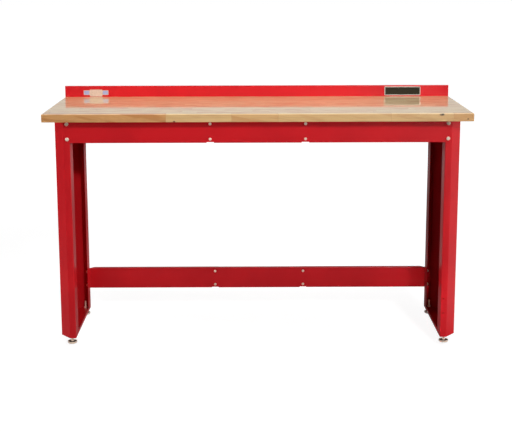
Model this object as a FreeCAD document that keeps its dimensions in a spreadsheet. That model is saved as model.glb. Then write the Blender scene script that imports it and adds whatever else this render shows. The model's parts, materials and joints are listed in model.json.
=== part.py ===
"""A wide steel workbench with a laminated hardwood top and a low backsplash.

Two folded sheet-steel leg panels stand on four screw-adjusted feet. Three
bolted channel rails join them: an apron under the worktop at the front and at
the back, and a low stretcher at the back. Each rail is three sections lapped
and bolted together.

Frame: millimetres, +Z up, the bench's front faces -Y and +X is its right.
The origin is on the floor, at the centre of the whole bench.
"""
import FreeCAD, Part
import os

import Sketcher


# Driving sizes: alias, value, meaning
SIZES = (
    # Worktop
    ("TopWidth", "1829", "worktop, left to right"),
    ("TopDepth", "610", "worktop, front to back"),
    ("TopThick", "34", "worktop thickness"),
    ("TopHeight", "1040", "working surface above the floor"),
    ("TopRound", "2.5", "rounding of the worktop's front and side edges"),
    # Backsplash
    ("BackRise", "52", "backsplash above the working surface"),
    ("BackDrop", "30", "backsplash below the working surface, over the rear edge"),
    ("BackReturn", "12", "top return of the backsplash, behind the worktop"),
    ("BackWall", "1.5", "backsplash sheet"),
    ("BackBend", "1.5", "inside bend radius of the backsplash"),
    # Leg panels
    ("FrontOverhang", "67", "worktop's front edge ahead of the leg panels"),
    ("SideOverhang", "34.5", "worktop's end past a leg panel's outer face"),
    ("BackOverhang", "96", "worktop's rear edge behind the leg panels"),
    ("LegWidth", "72", "leg panel, outer face to inner edge"),
    ("LegWall", "1.5", "leg panel sheet"),
    ("LegBend", "1.5", "inside bend radius of a leg panel"),
    ("LegFlat", "28", "leg panel's front and rear flats, inner edge to corner face"),
    ("ChamferDeep", "50", "leg panel corner face, front to back"),
    ("LipDeep", "68", "return lip along the inner edges of a leg panel"),
    ("FlangeLip", "15", "upturned lip on the bottom flange"),
    ("ReliefWide", "2", "bend relief slot in the bottom flange"),
    # Rails
    ("RailTall", "100", "rail web height"),
    ("RailFlange", "20", "rail flange, measured over the web"),
    ("RailWall", "1.5", "rail sheet"),
    ("RailBend", "1.5", "inside bend radius of a rail"),
    ("RailMargin", "2", "rail web's end short of a leg panel's corner face"),
    ("RailLegGap", "2", "rail flange clear of a leg panel"),
    ("RailLap", "32", "length of a lap between two rail sections"),
    ("LapNotch", "1", "web cut back past its bends at a lap"),
    ("ApronLap", "205", "apron lap bolts from the centre line"),
    ("StretcherLap", "212", "stretcher lap bolts from its own middle"),
    ("StretcherShift", "8", "stretcher's middle section, right of the centre line"),
    ("StretcherLow", "122", "stretcher's lower edge above the floor"),
    ("BoltInset", "11.5", "leg bolts from a leg panel's inner edge"),
    ("BoltRow", "33", "bolts above and below a rail's middle"),
    ("SpareHole", "7", "spare holes in the right leg panel's front"),
    # Leg bolts and nuts
    ("LegShank", "7.9", "leg bolt shank diameter"),
    ("LegHead", "16", "leg bolt head diameter"),
    ("LegHeadTall", "5", "leg bolt head height"),
    ("LegNut", "12.7", "leg bolt nut, across flats"),
    ("LegNutTall", "6.8", "leg bolt nut height"),
    # Lap bolts and nuts
    ("LapShank", "6.3", "lap bolt shank diameter"),
    ("LapHead", "12.4", "lap bolt head diameter"),
    ("LapHeadTall", "3.8", "lap bolt head height"),
    ("LapNut", "11.1", "lap bolt nut, across flats"),
    ("LapNutTall", "5.6", "lap bolt nut height"),
    ("BoltProud", "2.5", "bolt end past its nut"),
    # Wood screws
    ("ScrewShank", "4.8", "wood screw diameter"),
    ("ScrewHead", "9.5", "wood screw head, across flats"),
    ("ScrewHeadTall", "3", "wood screw head height"),
    ("ScrewLong", "24", "wood screw under its head"),
    ("RailScrewIn", "11.5", "apron screws from the outside of the web"),
    ("LegScrewIn", "34", "leg panel screws from the inner edge"),
    # Feet
    ("FootInset", "24", "foot centre behind a leg panel's front face"),
    ("FootIn", "21", "foot centre from a leg panel's inner edge"),
    ("PadDia", "42.5", "foot pad diameter at its rim"),
    ("PadSole", "37", "foot pad diameter on the floor"),
    ("PadRim", "9", "foot pad rim height"),
    ("PadWall", "2.5", "foot pad rim thickness"),
    ("PadDish", "5", "foot pad height in its dish"),
    ("PadHub", "20", "foot pad hub diameter"),
    ("PadTall", "9.5", "foot pad height"),
    ("PadFloor", "3", "pad under its stud socket"),
    ("StudDia", "9.5", "levelling stud diameter"),
    ("StudProud", "27", "levelling stud's end past its weld nut"),
    ("CollarAcross", "14.3", "wrench collar on the stud, across flats"),
    ("CollarTall", "6", "wrench collar height"),
    ("FootNut", "14.3", "foot nuts, across flats"),
    ("WeldNutTall", "8.3", "weld nut on the bottom flange"),
    ("JamNutTall", "5.6", "jam nut under the bottom flange"),
    ("FootRise", "6.85", "gap between wrench collar and jam nut"),
    # Clearances
    ("HoleSlack", "0.4", "bolt holes larger than their bolts, on the radius"),
    ("FitSlack", "0.05", "nut bores and sockets larger than what is in them, on the radius"),
    ("Overrun", "5", "how far a cut runs past what it cuts"),
)

# Places of the leg panel screws, as shares of the panel's depth
LEG_SCREW_SHARES = (0.12, 0.5, 0.88)
# Places of the backsplash screws, as shares of half the worktop's width
BACK_SCREW_SHARES = (-0.95, -0.32, 0.32, 0.95)
# Ends of a relief slot, as shares of the leg panel's corner face
RELIEF_SHARES = (0.3, 0.8)

# Places worked out from the driving sizes, as expressions
TOP_FRONT = "(-(Sizes.TopDepth + Sizes.BackReturn) / 2)"
TOP_BACK = f"({TOP_FRONT} + Sizes.TopDepth)"
TOP_RIGHT = "(Sizes.TopWidth / 2)"
UNDERSIDE = "(Sizes.TopHeight - Sizes.TopThick)"
LEG_OUT = f"({TOP_RIGHT} - Sizes.SideOverhang)"
LEG_IN = f"({LEG_OUT} - Sizes.LegWidth)"
LEG_FRONT = f"({TOP_FRONT} + Sizes.FrontOverhang)"
LEG_BACK = f"({TOP_BACK} - Sizes.BackOverhang)"
LEG_DEPTH = f"({LEG_BACK} - {LEG_FRONT})"
CHAMFER_ACROSS = "(Sizes.LegWidth - Sizes.LegFlat)"
CHAMFER_LONG = f"sqrt({CHAMFER_ACROSS} ^ 2 + Sizes.ChamferDeep ^ 2)"
LEG_ROUND = "(Sizes.LegBend + Sizes.LegWall)"
LEG_BOLT_X = f"({LEG_IN} + Sizes.BoltInset)"
RAIL_END = f"({LEG_IN} + Sizes.LegFlat - Sizes.RailMargin)"
RAIL_NOTCH = "(Sizes.RailWall + Sizes.RailBend + Sizes.LapNotch)"
APRON_LOW = f"({UNDERSIDE} - Sizes.RailTall)"
APRON_MID = f"({UNDERSIDE} - Sizes.RailTall / 2)"
STRETCHER_MID = "(Sizes.StretcherLow + Sizes.RailTall / 2)"
FOOT_X = f"({LEG_IN} + Sizes.FootIn)"
FOOT_FRONT = f"({LEG_FRONT} + Sizes.FootInset)"
FOOT_BACK = f"({LEG_BACK} - Sizes.FootInset)"
COLLAR_LOW = "(Sizes.PadTall + Sizes.FitSlack)"
JAM_NUT_LOW = f"({COLLAR_LOW} + Sizes.CollarTall + Sizes.FootRise)"
LEG_LOW = f"({JAM_NUT_LOW} + Sizes.JamNutTall)"
FLANGE_TOP = f"({LEG_LOW} + Sizes.LegWall)"
STUD_TOP = f"({FLANGE_TOP} + Sizes.WeldNutTall + Sizes.StudProud)"

# Which way a piece lies or faces along an axis
LEFT, RIGHT = -1, 1
FORWARD, BACKWARD = -1, 1
BOTH_WAYS = (-1, 1)

# The sections of a rail
SECTIONS = ("left", "centre", "right")

# Two places closer than this are one place
SAME_PLACE = 1e-4

doc = FreeCAD.newDocument("Workbench")


def make_sheet():
    """Write the driving sizes into the document's spreadsheet."""
    sheet = doc.addObject("Spreadsheet::Sheet", "Sizes")
    for row, (alias, value, meaning) in enumerate(SIZES, start=1):
        sheet.set(f"A{row}", meaning)
        sheet.set(f"B{row}", value)
        sheet.setAlias(f"B{row}", alias)
    doc.recompute()


def new_body(label):
    """Start a body whose label names the piece."""
    body = doc.addObject("PartDesign::Body", label)
    body.Label = label
    return body


def new_sketch(body, plane, height="0"):
    """Attach a sketch to an origin plane of its body, raised along the plane's normal."""
    sketch = body.newObject("Sketcher::SketchObject", "Outline")
    origin = [item for item in body.Origin.OriginFeatures if item.Role == plane]
    sketch.AttachmentSupport = (origin[0], [""])
    sketch.MapMode = "FlatFace"
    sketch.setExpression("AttachmentOffset.Base.z", height)
    return sketch


def place_point(sketch, element, vertex, corner):
    """Hold one point of a sketch at two expressions."""
    for kind, expression in zip(("DistanceX", "DistanceY"), corner):
        value = sketch.evalExpression(expression)
        index = sketch.addConstraint(Sketcher.Constraint(kind, -1, 1, element, vertex, value))
        sketch.setExpression(f"Constraints[{index}]", expression)


def draw_outline(sketch, corners):
    """Draw a closed outline through corners given as pairs of expressions.

    Returns the corners' places in the sketch.
    """
    places = [[sketch.evalExpression(part) for part in corner] for corner in corners]
    first = sketch.GeometryCount
    count = len(corners)
    for start, end in zip(places, places[1:] + places[:1]):
        line = Part.LineSegment(FreeCAD.Vector(*start, 0), FreeCAD.Vector(*end, 0))
        sketch.addGeometry(line, False)
    for index in range(count):
        following = first + (index + 1) % count
        sketch.addConstraint(Sketcher.Constraint("Coincident", first + index, 2, following, 1))
    for index, corner in enumerate(corners):
        place_point(sketch, first + index, 1, corner)
    return places


def draw_circle(sketch, centre, diameter):
    """Draw a circle whose centre and diameter are expressions."""
    place = [sketch.evalExpression(part) for part in centre]
    radius = sketch.evalExpression(diameter) / 2
    circle = Part.Circle(FreeCAD.Vector(*place, 0), FreeCAD.Vector(0, 0, 1), radius)
    element = sketch.addGeometry(circle, False)
    place_point(sketch, element, 3, centre)
    index = sketch.addConstraint(Sketcher.Constraint("Diameter", element, radius * 2))
    sketch.setExpression(f"Constraints[{index}]", diameter)


def box_corners(left, right, low, high):
    """Return the corners of a rectangle."""
    return [(left, low), (right, low), (right, high), (left, high)]


def hexagon_corners(across):
    """Return the corners of a hexagon of this width across its flats."""
    half = f"({across}) / 2"
    side = f"({across}) / sqrt(12)"
    point = f"({across}) / sqrt(3)"
    return [
        ("0", point), (f"-{half}", side), (f"-{half}", f"-{side}"),
        ("0", f"-{point}"), (half, f"-{side}"), (half, side),
    ]


def add_pad(body, sketch, length):
    """Raise a sketch along its normal."""
    pad = body.newObject("PartDesign::Pad", "Pad")
    pad.Profile = sketch
    pad.setExpression("Length", length)
    doc.recompute()
    return pad


def add_pocket(body, sketch, length, along=False):
    """Cut a sketch into the body, against the sketch's normal or along it."""
    pocket = body.newObject("PartDesign::Pocket", "Pocket")
    pocket.Profile = sketch
    pocket.Reversed = along
    pocket.setExpression("Length", length)
    before = body.Shape.Volume
    doc.recompute()
    if not body.Shape.Volume < before:
        raise RuntimeError(f"{body.Label}: a cut removes nothing")


def add_revolution(body, sketch):
    """Turn a sketch about its vertical axis."""
    turned = body.newObject("PartDesign::Revolution", "Turned")
    turned.Profile = sketch
    turned.ReferenceAxis = (sketch, ["V_Axis"])
    doc.recompute()
    return turned


def add_fillet(body, feature, chosen, radius):
    """Round the edges of a feature that the test chooses."""
    names = [
        f"Edge{number}" for number, edge in enumerate(feature.Shape.Edges, start=1) if chosen(edge)
    ]
    if not names:
        raise RuntimeError(f"{body.Label}: no edge to round")
    fillet = body.newObject("PartDesign::Fillet", "Fillet")
    fillet.Base = (feature, names)
    fillet.setExpression("Radius", radius)
    doc.recompute()
    return fillet


def is_along(edge, axis):
    """Say whether an edge is straight and runs along an axis (0, 1 or 2)."""
    return edge.Curve.TypeId == "Part::GeomLine" and abs(edge.Curve.Direction[axis]) > 1 - SAME_PLACE


def runs_through(places, axis):
    """Return a test for edges along an axis through any of the places, given on the other two."""
    others = [number for number in range(3) if number != axis]

    def chosen(edge):
        if not is_along(edge, axis):
            return False
        spot = [edge.CenterOfMass[number] for number in others]
        return any(abs(spot[0] - place[0]) + abs(spot[1] - place[1]) < SAME_PLACE for place in places)

    return chosen


def make_worktop():
    """Make the laminated slab, with pilot holes for the screws that hold it."""
    body = new_body("worktop")
    sketch = new_sketch(body, "YZ_Plane", f"-{TOP_RIGHT}")
    draw_outline(sketch, box_corners(TOP_FRONT, TOP_BACK, UNDERSIDE, "Sizes.TopHeight"))
    slab = add_pad(body, sketch, "Sizes.TopWidth")
    back = slab.evalExpression(TOP_BACK)

    def is_handled(edge):
        """Say whether an edge is one that hands meet: top or bottom, at the front or a side."""
        return not is_along(edge, 2) and edge.CenterOfMass.y < back - SAME_PLACE

    add_fillet(body, slab, is_handled, "Sizes.TopRound")
    holes = new_sketch(body, "XY_Plane", f"{UNDERSIDE} + Sizes.ScrewLong")
    for x, y in leg_screw_places() + apron_screw_places():
        draw_circle(holes, (x, y), "Sizes.ScrewShank + Sizes.FitSlack * 2")
    add_pocket(body, holes, "Sizes.ScrewLong + Sizes.Overrun")
    edge_holes = new_sketch(body, "XZ_Plane", f"-({TOP_BACK} + Sizes.Overrun)")
    for x, z in back_screw_places():
        draw_circle(edge_holes, (x, z), "Sizes.ScrewShank + Sizes.FitSlack * 2")
    add_pocket(body, edge_holes, "Sizes.ScrewLong + Sizes.Overrun", along=True)


def leg_screw_places():
    """Return where screws pass through the leg panels' top flanges."""
    x = f"({LEG_IN} + Sizes.LegScrewIn)"
    rows = [f"({LEG_FRONT} + {LEG_DEPTH} * {share})" for share in LEG_SCREW_SHARES]
    return [(f"{side} * {x}", y) for side in (LEFT, RIGHT) for y in rows]


def apron_screw_places():
    """Return where screws pass through the top flanges of the aprons' centre sections."""
    return [
        ("0", f"({LEG_FRONT} - Sizes.RailWall * 2 + Sizes.RailScrewIn)"),
        ("0", f"({LEG_BACK} + Sizes.RailWall * 2 - Sizes.RailScrewIn)"),
    ]


def back_screw_places():
    """Return where screws pass through the backsplash."""
    height = "(Sizes.TopHeight - Sizes.BackDrop / 2)"
    return [(f"{TOP_RIGHT} * {share}", height) for share in BACK_SCREW_SHARES]


def make_backsplash():
    """Make the folded strip behind the worktop, with a return along its top."""
    body = new_body("backsplash")
    inner = f"{TOP_BACK} + Sizes.BackWall"
    low = "Sizes.TopHeight - Sizes.BackDrop"
    high = "Sizes.TopHeight + Sizes.BackRise"
    sketch = new_sketch(body, "YZ_Plane", f"-{TOP_RIGHT}")
    places = draw_outline(sketch, [
        (TOP_BACK, low), (inner, low), (inner, f"{high} - Sizes.BackWall"),
        (f"{TOP_BACK} + Sizes.BackReturn", f"{high} - Sizes.BackWall"),
        (f"{TOP_BACK} + Sizes.BackReturn", high), (TOP_BACK, high),
    ])
    strip = add_pad(body, sketch, "Sizes.TopWidth")
    outside = add_fillet(body, strip, runs_through([places[5]], 0), "Sizes.BackBend + Sizes.BackWall")
    add_fillet(body, outside, runs_through([places[2]], 0), "Sizes.BackBend")
    holes = new_sketch(body, "XZ_Plane", f"-({TOP_BACK} - Sizes.Overrun)")
    for x, z in back_screw_places():
        draw_circle(holes, (x, z), "Sizes.ScrewShank + Sizes.HoleSlack * 2")
    add_pocket(body, holes, "Sizes.BackWall + Sizes.Overrun * 2")


def leg_corners(side, inset):
    """Return a leg panel's six bends in plan, set in from its outer surface.

    They run from the front inner bend round the outside to the rear inner one.
    """
    flat_drop = f"({inset}) * ({CHAMFER_LONG} - {CHAMFER_ACROSS}) / Sizes.ChamferDeep"
    web_drop = f"({inset}) * ({CHAMFER_LONG} - Sizes.ChamferDeep) / {CHAMFER_ACROSS}"
    front = [
        (f"{LEG_IN} + ({inset})", f"({inset})"),
        (f"{LEG_IN} + Sizes.LegFlat - {flat_drop}", f"({inset})"),
        (f"{LEG_OUT} - ({inset})", f"Sizes.ChamferDeep + {web_drop}"),
    ]
    corners = [(f"{side} * ({x})", f"{LEG_FRONT} + {y}") for x, y in front]
    corners += [(f"{side} * ({x})", f"{LEG_BACK} - ({y})") for x, y in reversed(front)]
    return corners


def flange_corners(side):
    """Return the outline of a leg panel's top or bottom flange, joined to its walls."""
    bends = leg_corners(side, "Sizes.LegWall / 2")
    rounded = f"{side} * ({LEG_IN} + {LEG_ROUND})"
    edge = f"{side} * {LEG_IN}"
    return [
        (edge, f"{LEG_FRONT} + {LEG_ROUND}"), (rounded, bends[0][1]), *bends[1:5],
        (rounded, bends[5][1]), (edge, f"{LEG_BACK} - {LEG_ROUND}"),
    ]


def relief_corners(side, front):
    """Return a bend relief slot along the foot of one corner face of a leg panel."""
    near, far = RELIEF_SHARES
    wall, slot = "Sizes.LegWall", "(Sizes.LegWall + Sizes.ReliefWide)"
    corners = []
    for share, inset in ((near, wall), (far, wall), (far, slot), (near, slot)):
        flat_end = f"{LEG_IN} + Sizes.LegFlat"
        x = f"{flat_end} + {CHAMFER_ACROSS} * {share} - {inset} * Sizes.ChamferDeep / {CHAMFER_LONG}"
        y = f"(Sizes.ChamferDeep * {share} + {inset} * {CHAMFER_ACROSS} / {CHAMFER_LONG})"
        corners.append((f"{side} * ({x})", f"{LEG_FRONT} + {y}" if front else f"{LEG_BACK} - {y}"))
    return corners


def drill_pair(body, start, x, middle, diameter, depth):
    """Drill two holes, one above the other, backward from the plane y = start."""
    holes = new_sketch(body, "XZ_Plane", f"-{start}")
    for way in BOTH_WAYS:
        draw_circle(holes, (x, f"{middle} + {way} * Sizes.BoltRow"), diameter)
    add_pocket(body, holes, depth)


def make_leg_panel(label, side):
    """Fold one leg panel: an outer web, angled corners, flats, return lips and flanges."""
    body = new_body(label)
    edge = f"{side} * {LEG_IN}"
    inner_edge = f"{side} * ({LEG_IN} + Sizes.LegWall)"
    outer = leg_corners(side, "0")
    inner = leg_corners(side, "Sizes.LegWall")
    lip_front = f"{LEG_FRONT} + Sizes.LipDeep"
    lip_back = f"{LEG_BACK} - Sizes.LipDeep"
    walls = new_sketch(body, "XY_Plane", LEG_LOW)
    places = draw_outline(walls, [
        (edge, lip_front), *outer, (edge, lip_back),
        (inner_edge, lip_back), *reversed(inner), (inner_edge, lip_front),
    ])
    folded = add_pad(body, walls, f"{UNDERSIDE} - {LEG_LOW}")
    outside = add_fillet(body, folded, runs_through(places[1:7], 2), LEG_ROUND)
    add_fillet(body, outside, runs_through(places[9:15], 2), "Sizes.LegBend")

    bottom = new_sketch(body, "XY_Plane", LEG_LOW)
    draw_outline(bottom, flange_corners(side))
    add_pad(body, bottom, "Sizes.LegWall")
    lip = new_sketch(body, "XY_Plane", LEG_LOW)
    draw_outline(lip, box_corners(edge, inner_edge, f"{LEG_FRONT} + {LEG_ROUND}",
                                  f"{LEG_BACK} - {LEG_ROUND}"))
    add_pad(body, lip, "Sizes.FlangeLip")
    top = new_sketch(body, "XY_Plane", f"{UNDERSIDE} - Sizes.LegWall")
    draw_outline(top, flange_corners(side))
    add_pad(body, top, "Sizes.LegWall")

    bolt_hole = "Sizes.LegShank + Sizes.HoleSlack * 2"
    bolt_x = f"{side} * {LEG_BOLT_X}"
    before_front = f"({LEG_FRONT} - Sizes.Overrun)"
    before_back = f"({LEG_BACK} - Sizes.LegWall - Sizes.Overrun)"
    through_both = f"{LEG_DEPTH} + Sizes.Overrun * 2"
    through_one = "Sizes.LegWall + Sizes.Overrun * 2"
    drill_pair(body, before_front, bolt_x, APRON_MID, bolt_hole, through_both)
    drill_pair(body, before_back, bolt_x, STRETCHER_MID, bolt_hole, through_one)
    if side == RIGHT:
        drill_pair(body, before_front, bolt_x, STRETCHER_MID, "Sizes.SpareHole", through_one)

    foot_holes = new_sketch(body, "XY_Plane", f"{FLANGE_TOP} + Sizes.Overrun")
    for y in (FOOT_FRONT, FOOT_BACK):
        draw_circle(foot_holes, (f"{side} * {FOOT_X}", y), "Sizes.StudDia + Sizes.HoleSlack * 2")
    for front in (True, False):
        draw_outline(foot_holes, relief_corners(side, front))
    add_pocket(body, foot_holes, "Sizes.LegWall + Sizes.Overrun * 2")
    screw_holes = new_sketch(body, "XY_Plane", f"{UNDERSIDE} + Sizes.Overrun")
    half = len(leg_screw_places()) // 2
    mine = leg_screw_places()[:half] if side == LEFT else leg_screw_places()[half:]
    for x, y in mine:
        draw_circle(screw_holes, (x, y), "Sizes.ScrewShank + Sizes.HoleSlack * 2")
    add_pocket(body, screw_holes, "Sizes.LegWall + Sizes.Overrun * 2")


def make_rail_section(label, rail, part):
    """Fold one section of a rail: a web with two flanges.

    The flanges stop at 45 degrees short of a leg panel, and are cut away with
    a strip of the web where two sections lap.
    """
    body = new_body(label)
    turn, low, middle, laps = rail["turn"], rail["low"], rail["middle"], rail["laps"]
    high = f"({low} + Sizes.RailTall)"
    # The centre section lies outside the end sections.
    face = f"({rail['face']} - {turn} * Sizes.RailWall)" if part == "centre" else rail["face"]
    inside = f"({face} + {turn} * Sizes.RailWall)"
    tip = f"({face} + {turn} * Sizes.RailFlange)"
    # The left and right laps, each from its side near the middle to its far side
    near = [f"({laps[0]} + Sizes.RailLap / 2)", f"({laps[1]} - Sizes.RailLap / 2)"]
    far = [f"({laps[0]} - Sizes.RailLap / 2)", f"({laps[1]} + Sizes.RailLap / 2)"]
    if part == "left":
        start, end = f"(-{RAIL_END})", near[0]
        cuts = [(far[0], f"{near[0]} + Sizes.Overrun")]
        bolts = [(f"(-{LEG_BOLT_X})", "Sizes.LegShank"), (laps[0], "Sizes.LapShank")]
    elif part == "right":
        start, end = near[1], RAIL_END
        cuts = [(f"{near[1]} - Sizes.Overrun", far[1])]
        bolts = [(laps[1], "Sizes.LapShank"), (LEG_BOLT_X, "Sizes.LegShank")]
    else:
        start, end = far
        cuts = [(f"{far[0]} - Sizes.Overrun", near[0]), (near[1], f"{far[1]} + Sizes.Overrun")]
        bolts = [(lap, "Sizes.LapShank") for lap in laps]

    profile = new_sketch(body, "YZ_Plane", start)
    places = draw_outline(profile, [
        (face, low), (tip, low), (tip, f"{low} + Sizes.RailWall"), (inside, f"{low} + Sizes.RailWall"),
        (inside, f"{high} - Sizes.RailWall"), (tip, f"{high} - Sizes.RailWall"), (tip, high), (face, high),
    ])
    channel = add_pad(body, profile, f"{end} - {start}")
    outer_bends = runs_through([places[0], places[7]], 0)
    inner_bends = runs_through(places[3:5], 0)
    bent = add_fillet(body, channel, outer_bends, "Sizes.RailBend + Sizes.RailWall")
    add_fillet(body, bent, inner_bends, "Sizes.RailBend")

    if part != "centre":
        side = LEFT if part == "left" else RIGHT
        past = f"{side} * ({RAIL_END} + Sizes.Overrun)"
        stop = f"{side} * ({LEG_IN} - Sizes.RailLegGap)"
        slant = f"{side} * ({LEG_IN} - Sizes.RailLegGap - Sizes.RailFlange)"
        beyond = f"({inside} + {turn} * Sizes.RailFlange)"
        mitre = new_sketch(body, "XY_Plane", f"{high} + Sizes.Overrun")
        draw_outline(mitre, [(past, inside), (stop, inside), (slant, beyond), (past, beyond)])
        add_pocket(body, mitre, "Sizes.RailTall + Sizes.Overrun * 2")

    front = f"({face if turn == BACKWARD else tip} - Sizes.Overrun)"
    depth = "Sizes.RailFlange + Sizes.Overrun * 2"
    notches = new_sketch(body, "XZ_Plane", f"-{front}")
    for left, right in cuts:
        draw_outline(notches, box_corners(left, right, f"{low} - Sizes.Overrun", f"{low} + {RAIL_NOTCH}"))
        draw_outline(notches, box_corners(left, right, f"{high} - {RAIL_NOTCH}", f"{high} + Sizes.Overrun"))
    add_pocket(body, notches, depth)
    for x, shank in bolts:
        drill_pair(body, front, x, middle, f"{shank} + Sizes.HoleSlack * 2", depth)

    if rail["screwed"] and part == "centre":
        place = apron_screw_places()[0 if turn == BACKWARD else 1]
        screw_hole = new_sketch(body, "XY_Plane", f"{high} + Sizes.Overrun")
        draw_circle(screw_hole, place, "Sizes.ScrewShank + Sizes.HoleSlack * 2")
        add_pocket(body, screw_hole, "Sizes.RailWall + Sizes.Overrun * 2")


def bolt_template(name, shank, head, head_tall, length):
    """Turn one pan-headed bolt along +Y, its head's seat at the origin."""
    body = new_body(name)
    sketch = new_sketch(body, "XY_Plane")
    draw_outline(sketch, [
        ("0", f"-({head_tall})"), (f"{head} / 2", f"-({head_tall})"), (f"{head} / 2", "0"),
        (f"{shank} / 2", "0"), (f"{shank} / 2", length), ("0", length),
    ])
    add_revolution(body, sketch)
    return body


def screw_template(name, shank, across, head_tall, length):
    """Make one hexagon-headed wood screw along +Z, its head's seat at the origin."""
    body = new_body(name)
    head = new_sketch(body, "XY_Plane", f"-({head_tall})")
    draw_outline(head, hexagon_corners(across))
    add_pad(body, head, head_tall)
    stem = new_sketch(body, "XY_Plane")
    draw_circle(stem, ("0", "0"), shank)
    add_pad(body, stem, length)
    return body


def nut_template(name, across, tall, shank):
    """Make one hexagon nut standing on the origin along +Z."""
    body = new_body(name)
    sketch = new_sketch(body, "XY_Plane")
    draw_outline(sketch, hexagon_corners(across))
    draw_circle(sketch, ("0", "0"), f"{shank} + Sizes.FitSlack * 2")
    add_pad(body, sketch, tall)
    return body


def make_group(label, template, places, axis, angle):
    """Gather copies of a template, all turned alike, as one node of separate solids."""
    links = []
    for number, place in enumerate(places):
        link = doc.addObject("App::Link", f"{label}_{number + 1}")
        link.LinkedObject = template
        link.Placement.Rotation = FreeCAD.Rotation(FreeCAD.Vector(*axis), angle)
        for letter, expression in zip("xyz", place):
            link.setExpression(f"Placement.Base.{letter}", expression)
        links.append(link)
    group = doc.addObject("Part::Compound", label)
    group.Label = label
    group.Links = links
    doc.recompute()


def bolted(name, columns, middle, seat, turn, templates, nut_seat):
    """Place the bolts and nuts of one row of rail joints.

    The heads sit on the plane y = seat and point along turn, and the nuts
    start at the plane y = nut_seat.
    """
    heights = [f"{middle} + {way} * Sizes.BoltRow" for way in BOTH_WAYS]
    bolt_places = [(x, seat, z) for x in columns for z in heights]
    nut_places = [(x, nut_seat, z) for x in columns for z in heights]
    bolt, nut = templates
    make_group(f"{name}_bolts", bolt, bolt_places, (0, 0, 1), 0 if turn > 0 else 180)
    make_group(f"{name}_nuts", nut, nut_places, (1, 0, 0), -90 if turn > 0 else 90)


def make_fasteners():
    """Make every bolt, nut and screw of the fixed frame."""
    leg_length = "(Sizes.RailWall + Sizes.LegWall + Sizes.LegNutTall + Sizes.BoltProud)"
    lap_length = "(Sizes.RailWall * 2 + Sizes.LapNutTall + Sizes.BoltProud)"
    leg_bolt = bolt_template("leg_bolt", "Sizes.LegShank", "Sizes.LegHead", "Sizes.LegHeadTall", leg_length)
    lap_bolt = bolt_template("lap_bolt", "Sizes.LapShank", "Sizes.LapHead", "Sizes.LapHeadTall", lap_length)
    leg_nut = nut_template("leg_nut", "Sizes.LegNut", "Sizes.LegNutTall", "Sizes.LegShank")
    lap_nut = nut_template("lap_nut", "Sizes.LapNut", "Sizes.LapNutTall", "Sizes.LapShank")
    legs = (leg_bolt, leg_nut)
    laps = (lap_bolt, lap_nut)
    leg_columns = (f"-{LEG_BOLT_X}", LEG_BOLT_X)
    for rail in RAILS:
        name, face, turn = rail["name"], rail["face"], rail["turn"]
        if rail["screwed"]:
            bolted(f"{name}_leg", leg_columns, rail["middle"], face, turn, legs,
                   f"{face} + {turn} * (Sizes.RailWall + Sizes.LegWall)")
        else:
            bolted(f"{name}_leg", leg_columns, rail["middle"], f"{face} + Sizes.RailWall", FORWARD, legs,
                   f"{face} - Sizes.LegWall")
        bolted(f"{name}_lap", rail["laps"], rail["middle"], f"{face} - {turn} * Sizes.RailWall", turn, laps,
               f"{face} + {turn} * Sizes.RailWall")

    screw = screw_template("wood_screw", "Sizes.ScrewShank", "Sizes.ScrewHead", "Sizes.ScrewHeadTall",
                           "Sizes.ScrewLong")
    under_leg = f"{UNDERSIDE} - Sizes.LegWall"
    under_rail = f"{UNDERSIDE} - Sizes.RailWall"
    behind = f"{TOP_BACK} + Sizes.BackWall"
    upright = ((0, 0, 1), 0)
    make_group("worktop_leg_screws", screw, [(x, y, under_leg) for x, y in leg_screw_places()], *upright)
    make_group("worktop_apron_screws", screw, [(x, y, under_rail) for x, y in apron_screw_places()], *upright)
    make_group("backsplash_screws", screw, [(x, behind, z) for x, z in back_screw_places()], (1, 0, 0), 90)


def foot_places():
    """Return each foot's name, with its place on the floor."""
    return [
        ("front_left", f"-{FOOT_X}", FOOT_FRONT), ("front_right", FOOT_X, FOOT_FRONT),
        ("rear_left", f"-{FOOT_X}", FOOT_BACK), ("rear_right", FOOT_X, FOOT_BACK),
    ]


def make_foot_pad(label, x, y):
    """Turn one foot pad: a dish with a raised rim, and a hub whose socket takes the stud."""
    body = new_body(label)
    sketch = new_sketch(body, "XZ_Plane")
    outer, hub = "Sizes.PadDia / 2", "Sizes.PadHub / 2"
    inside = f"{outer} - Sizes.PadWall"
    socket = "Sizes.StudDia / 2 + Sizes.FitSlack"
    draw_outline(sketch, [
        ("0", "0"), ("Sizes.PadSole / 2", "0"), (outer, "Sizes.PadDish"), (outer, "Sizes.PadRim"),
        (inside, "Sizes.PadRim"), (inside, "Sizes.PadDish"), (hub, "Sizes.PadDish"), (hub, "Sizes.PadTall"),
        (socket, "Sizes.PadTall"), (socket, "Sizes.PadFloor"), ("0", "Sizes.PadFloor"),
    ])
    add_revolution(body, sketch)
    place_body(body, x, y)


def make_foot_stud(label, x, y):
    """Turn one levelling stud, with a hexagon collar above the pad."""
    body = new_body(label)
    sketch = new_sketch(body, "XZ_Plane")
    radius = "Sizes.StudDia / 2"
    low = "Sizes.PadFloor + Sizes.FitSlack"
    draw_outline(sketch, box_corners("0", radius, low, STUD_TOP))
    add_revolution(body, sketch)
    collar = new_sketch(body, "XY_Plane", COLLAR_LOW)
    draw_outline(collar, hexagon_corners("Sizes.CollarAcross"))
    add_pad(body, collar, "Sizes.CollarTall")
    place_body(body, x, y)


def place_body(body, x, y):
    """Move a body over its place on the floor."""
    body.setExpression("Placement.Base.x", x)
    body.setExpression("Placement.Base.y", y)
    doc.recompute()


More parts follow.
